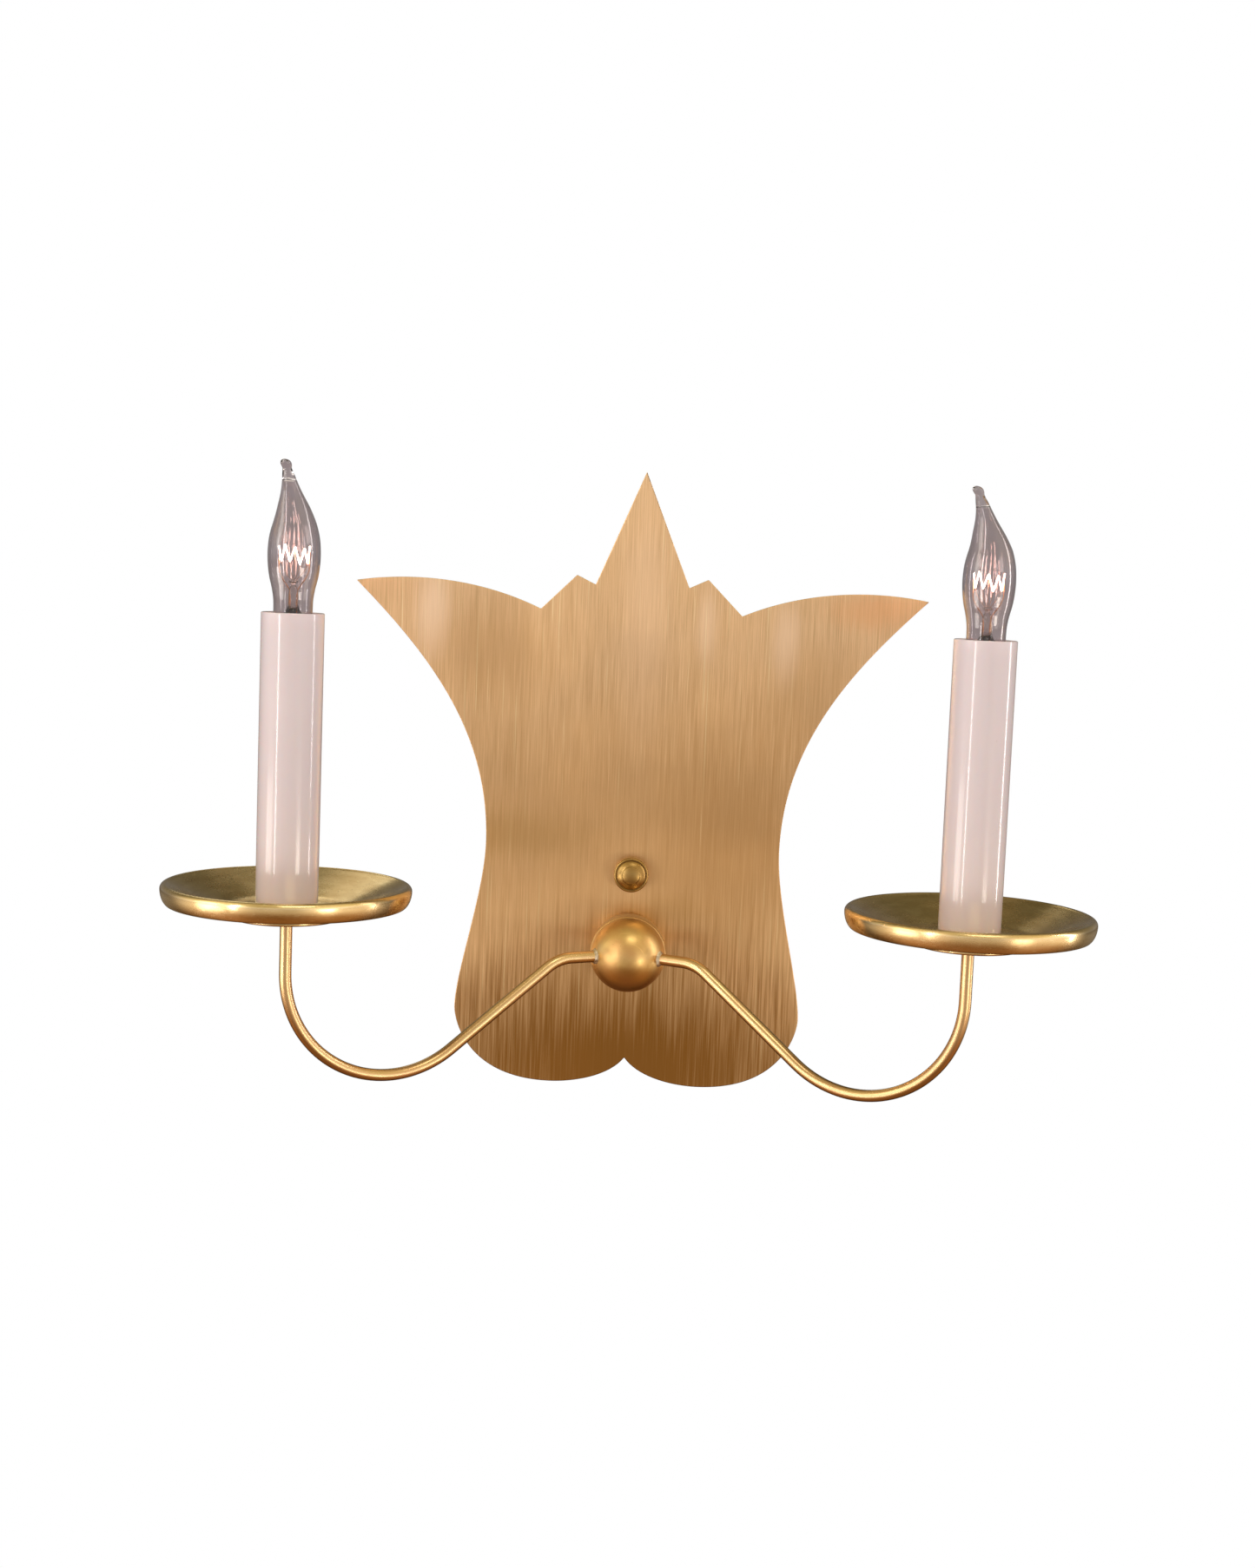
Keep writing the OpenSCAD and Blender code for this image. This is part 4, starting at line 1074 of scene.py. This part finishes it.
def panel(name, place, size, power, colour, aim=(0, -0.06, 0.05)):
    """A soft rectangular lamp at a place, facing the sconce, hidden from the camera itself."""
    light = bpy.data.lights.new(name, "AREA")
    light.shape = "RECTANGLE"
    light.size, light.size_y = size
    light.energy = power
    light.color = colour
    thing = bpy.data.objects.new(name, light)
    bpy.context.scene.collection.objects.link(thing)
    thing.location = place
    away = np.array(place, float) - np.array(aim, float)
    level = math.hypot(away[0], away[1])
    thing.rotation_euler = (math.atan2(level, away[2]), 0, math.atan2(away[1], away[0]) + math.pi / 2)
    thing.visible_camera = False


panel("strip_left", (-1.95, -2.35, 0.6), (0.16, 3.2), 20, (1.0, 0.94, 0.92))
panel("strip_right", (3.0, 0.12, 0.6), (0.2, 3.2), 26, (1.0, 0.94, 0.92))
panel("softbox_left", (-2.2, -1.0, 0.9), (0.9, 1.2), 8, (1.0, 0.95, 0.84))
panel("softbox_above", (0.5, -1.6, 2.4), (1.2, 0.8), 11, (1.0, 0.95, 0.80))
panel("glow_behind", (-0.75, 1.75, 1.4), (0.9, 0.9), 3.2, (1.0, 0.93, 0.72))
panel("low_left", (-1.9, -1.0, -0.5), (0.9, 0.7), 7, (1.0, 0.95, 0.88))
panel("low_right", (1.3, -1.5, -0.42), (0.5, 0.35), 3.5, (1.0, 0.92, 0.80))

# Camera: its place in metres, and how far it looks down, to the right and rolls, in degrees
CAMERA_PLACE = (0.0127, -1.179, 0.175)
CAMERA_ANGLES = (6.12, -0.83, 2.24)
CAMERA_LENS = 59.7924

camera_data = bpy.data.cameras.new("camera")
camera_data.sensor_fit = "HORIZONTAL"
camera_data.sensor_width = 36.0
camera_data.lens = CAMERA_LENS
camera_data.clip_end = 200
camera = bpy.data.objects.new("camera", camera_data)
bpy.context.scene.collection.objects.link(camera)
pitch, yaw, roll = np.radians(CAMERA_ANGLES)
ahead = np.array([math.sin(yaw) * math.cos(pitch), math.cos(yaw) * math.cos(pitch), -math.sin(pitch)])
level = np.array([math.cos(yaw), -math.sin(yaw), 0])
upward = np.cross(level, ahead)
across = math.cos(roll) * level + math.sin(roll) * upward
above = -math.sin(roll) * level + math.cos(roll) * upward
pose = np.eye(4)
pose[:3, 0] = across
pose[:3, 1] = above
pose[:3, 2] = -ahead
pose[:3, 3] = CAMERA_PLACE
camera.matrix_world = Matrix(pose.tolist())
bpy.context.scene.camera = camera
bpy.context.scene.view_settings.view_transform = "Standard"
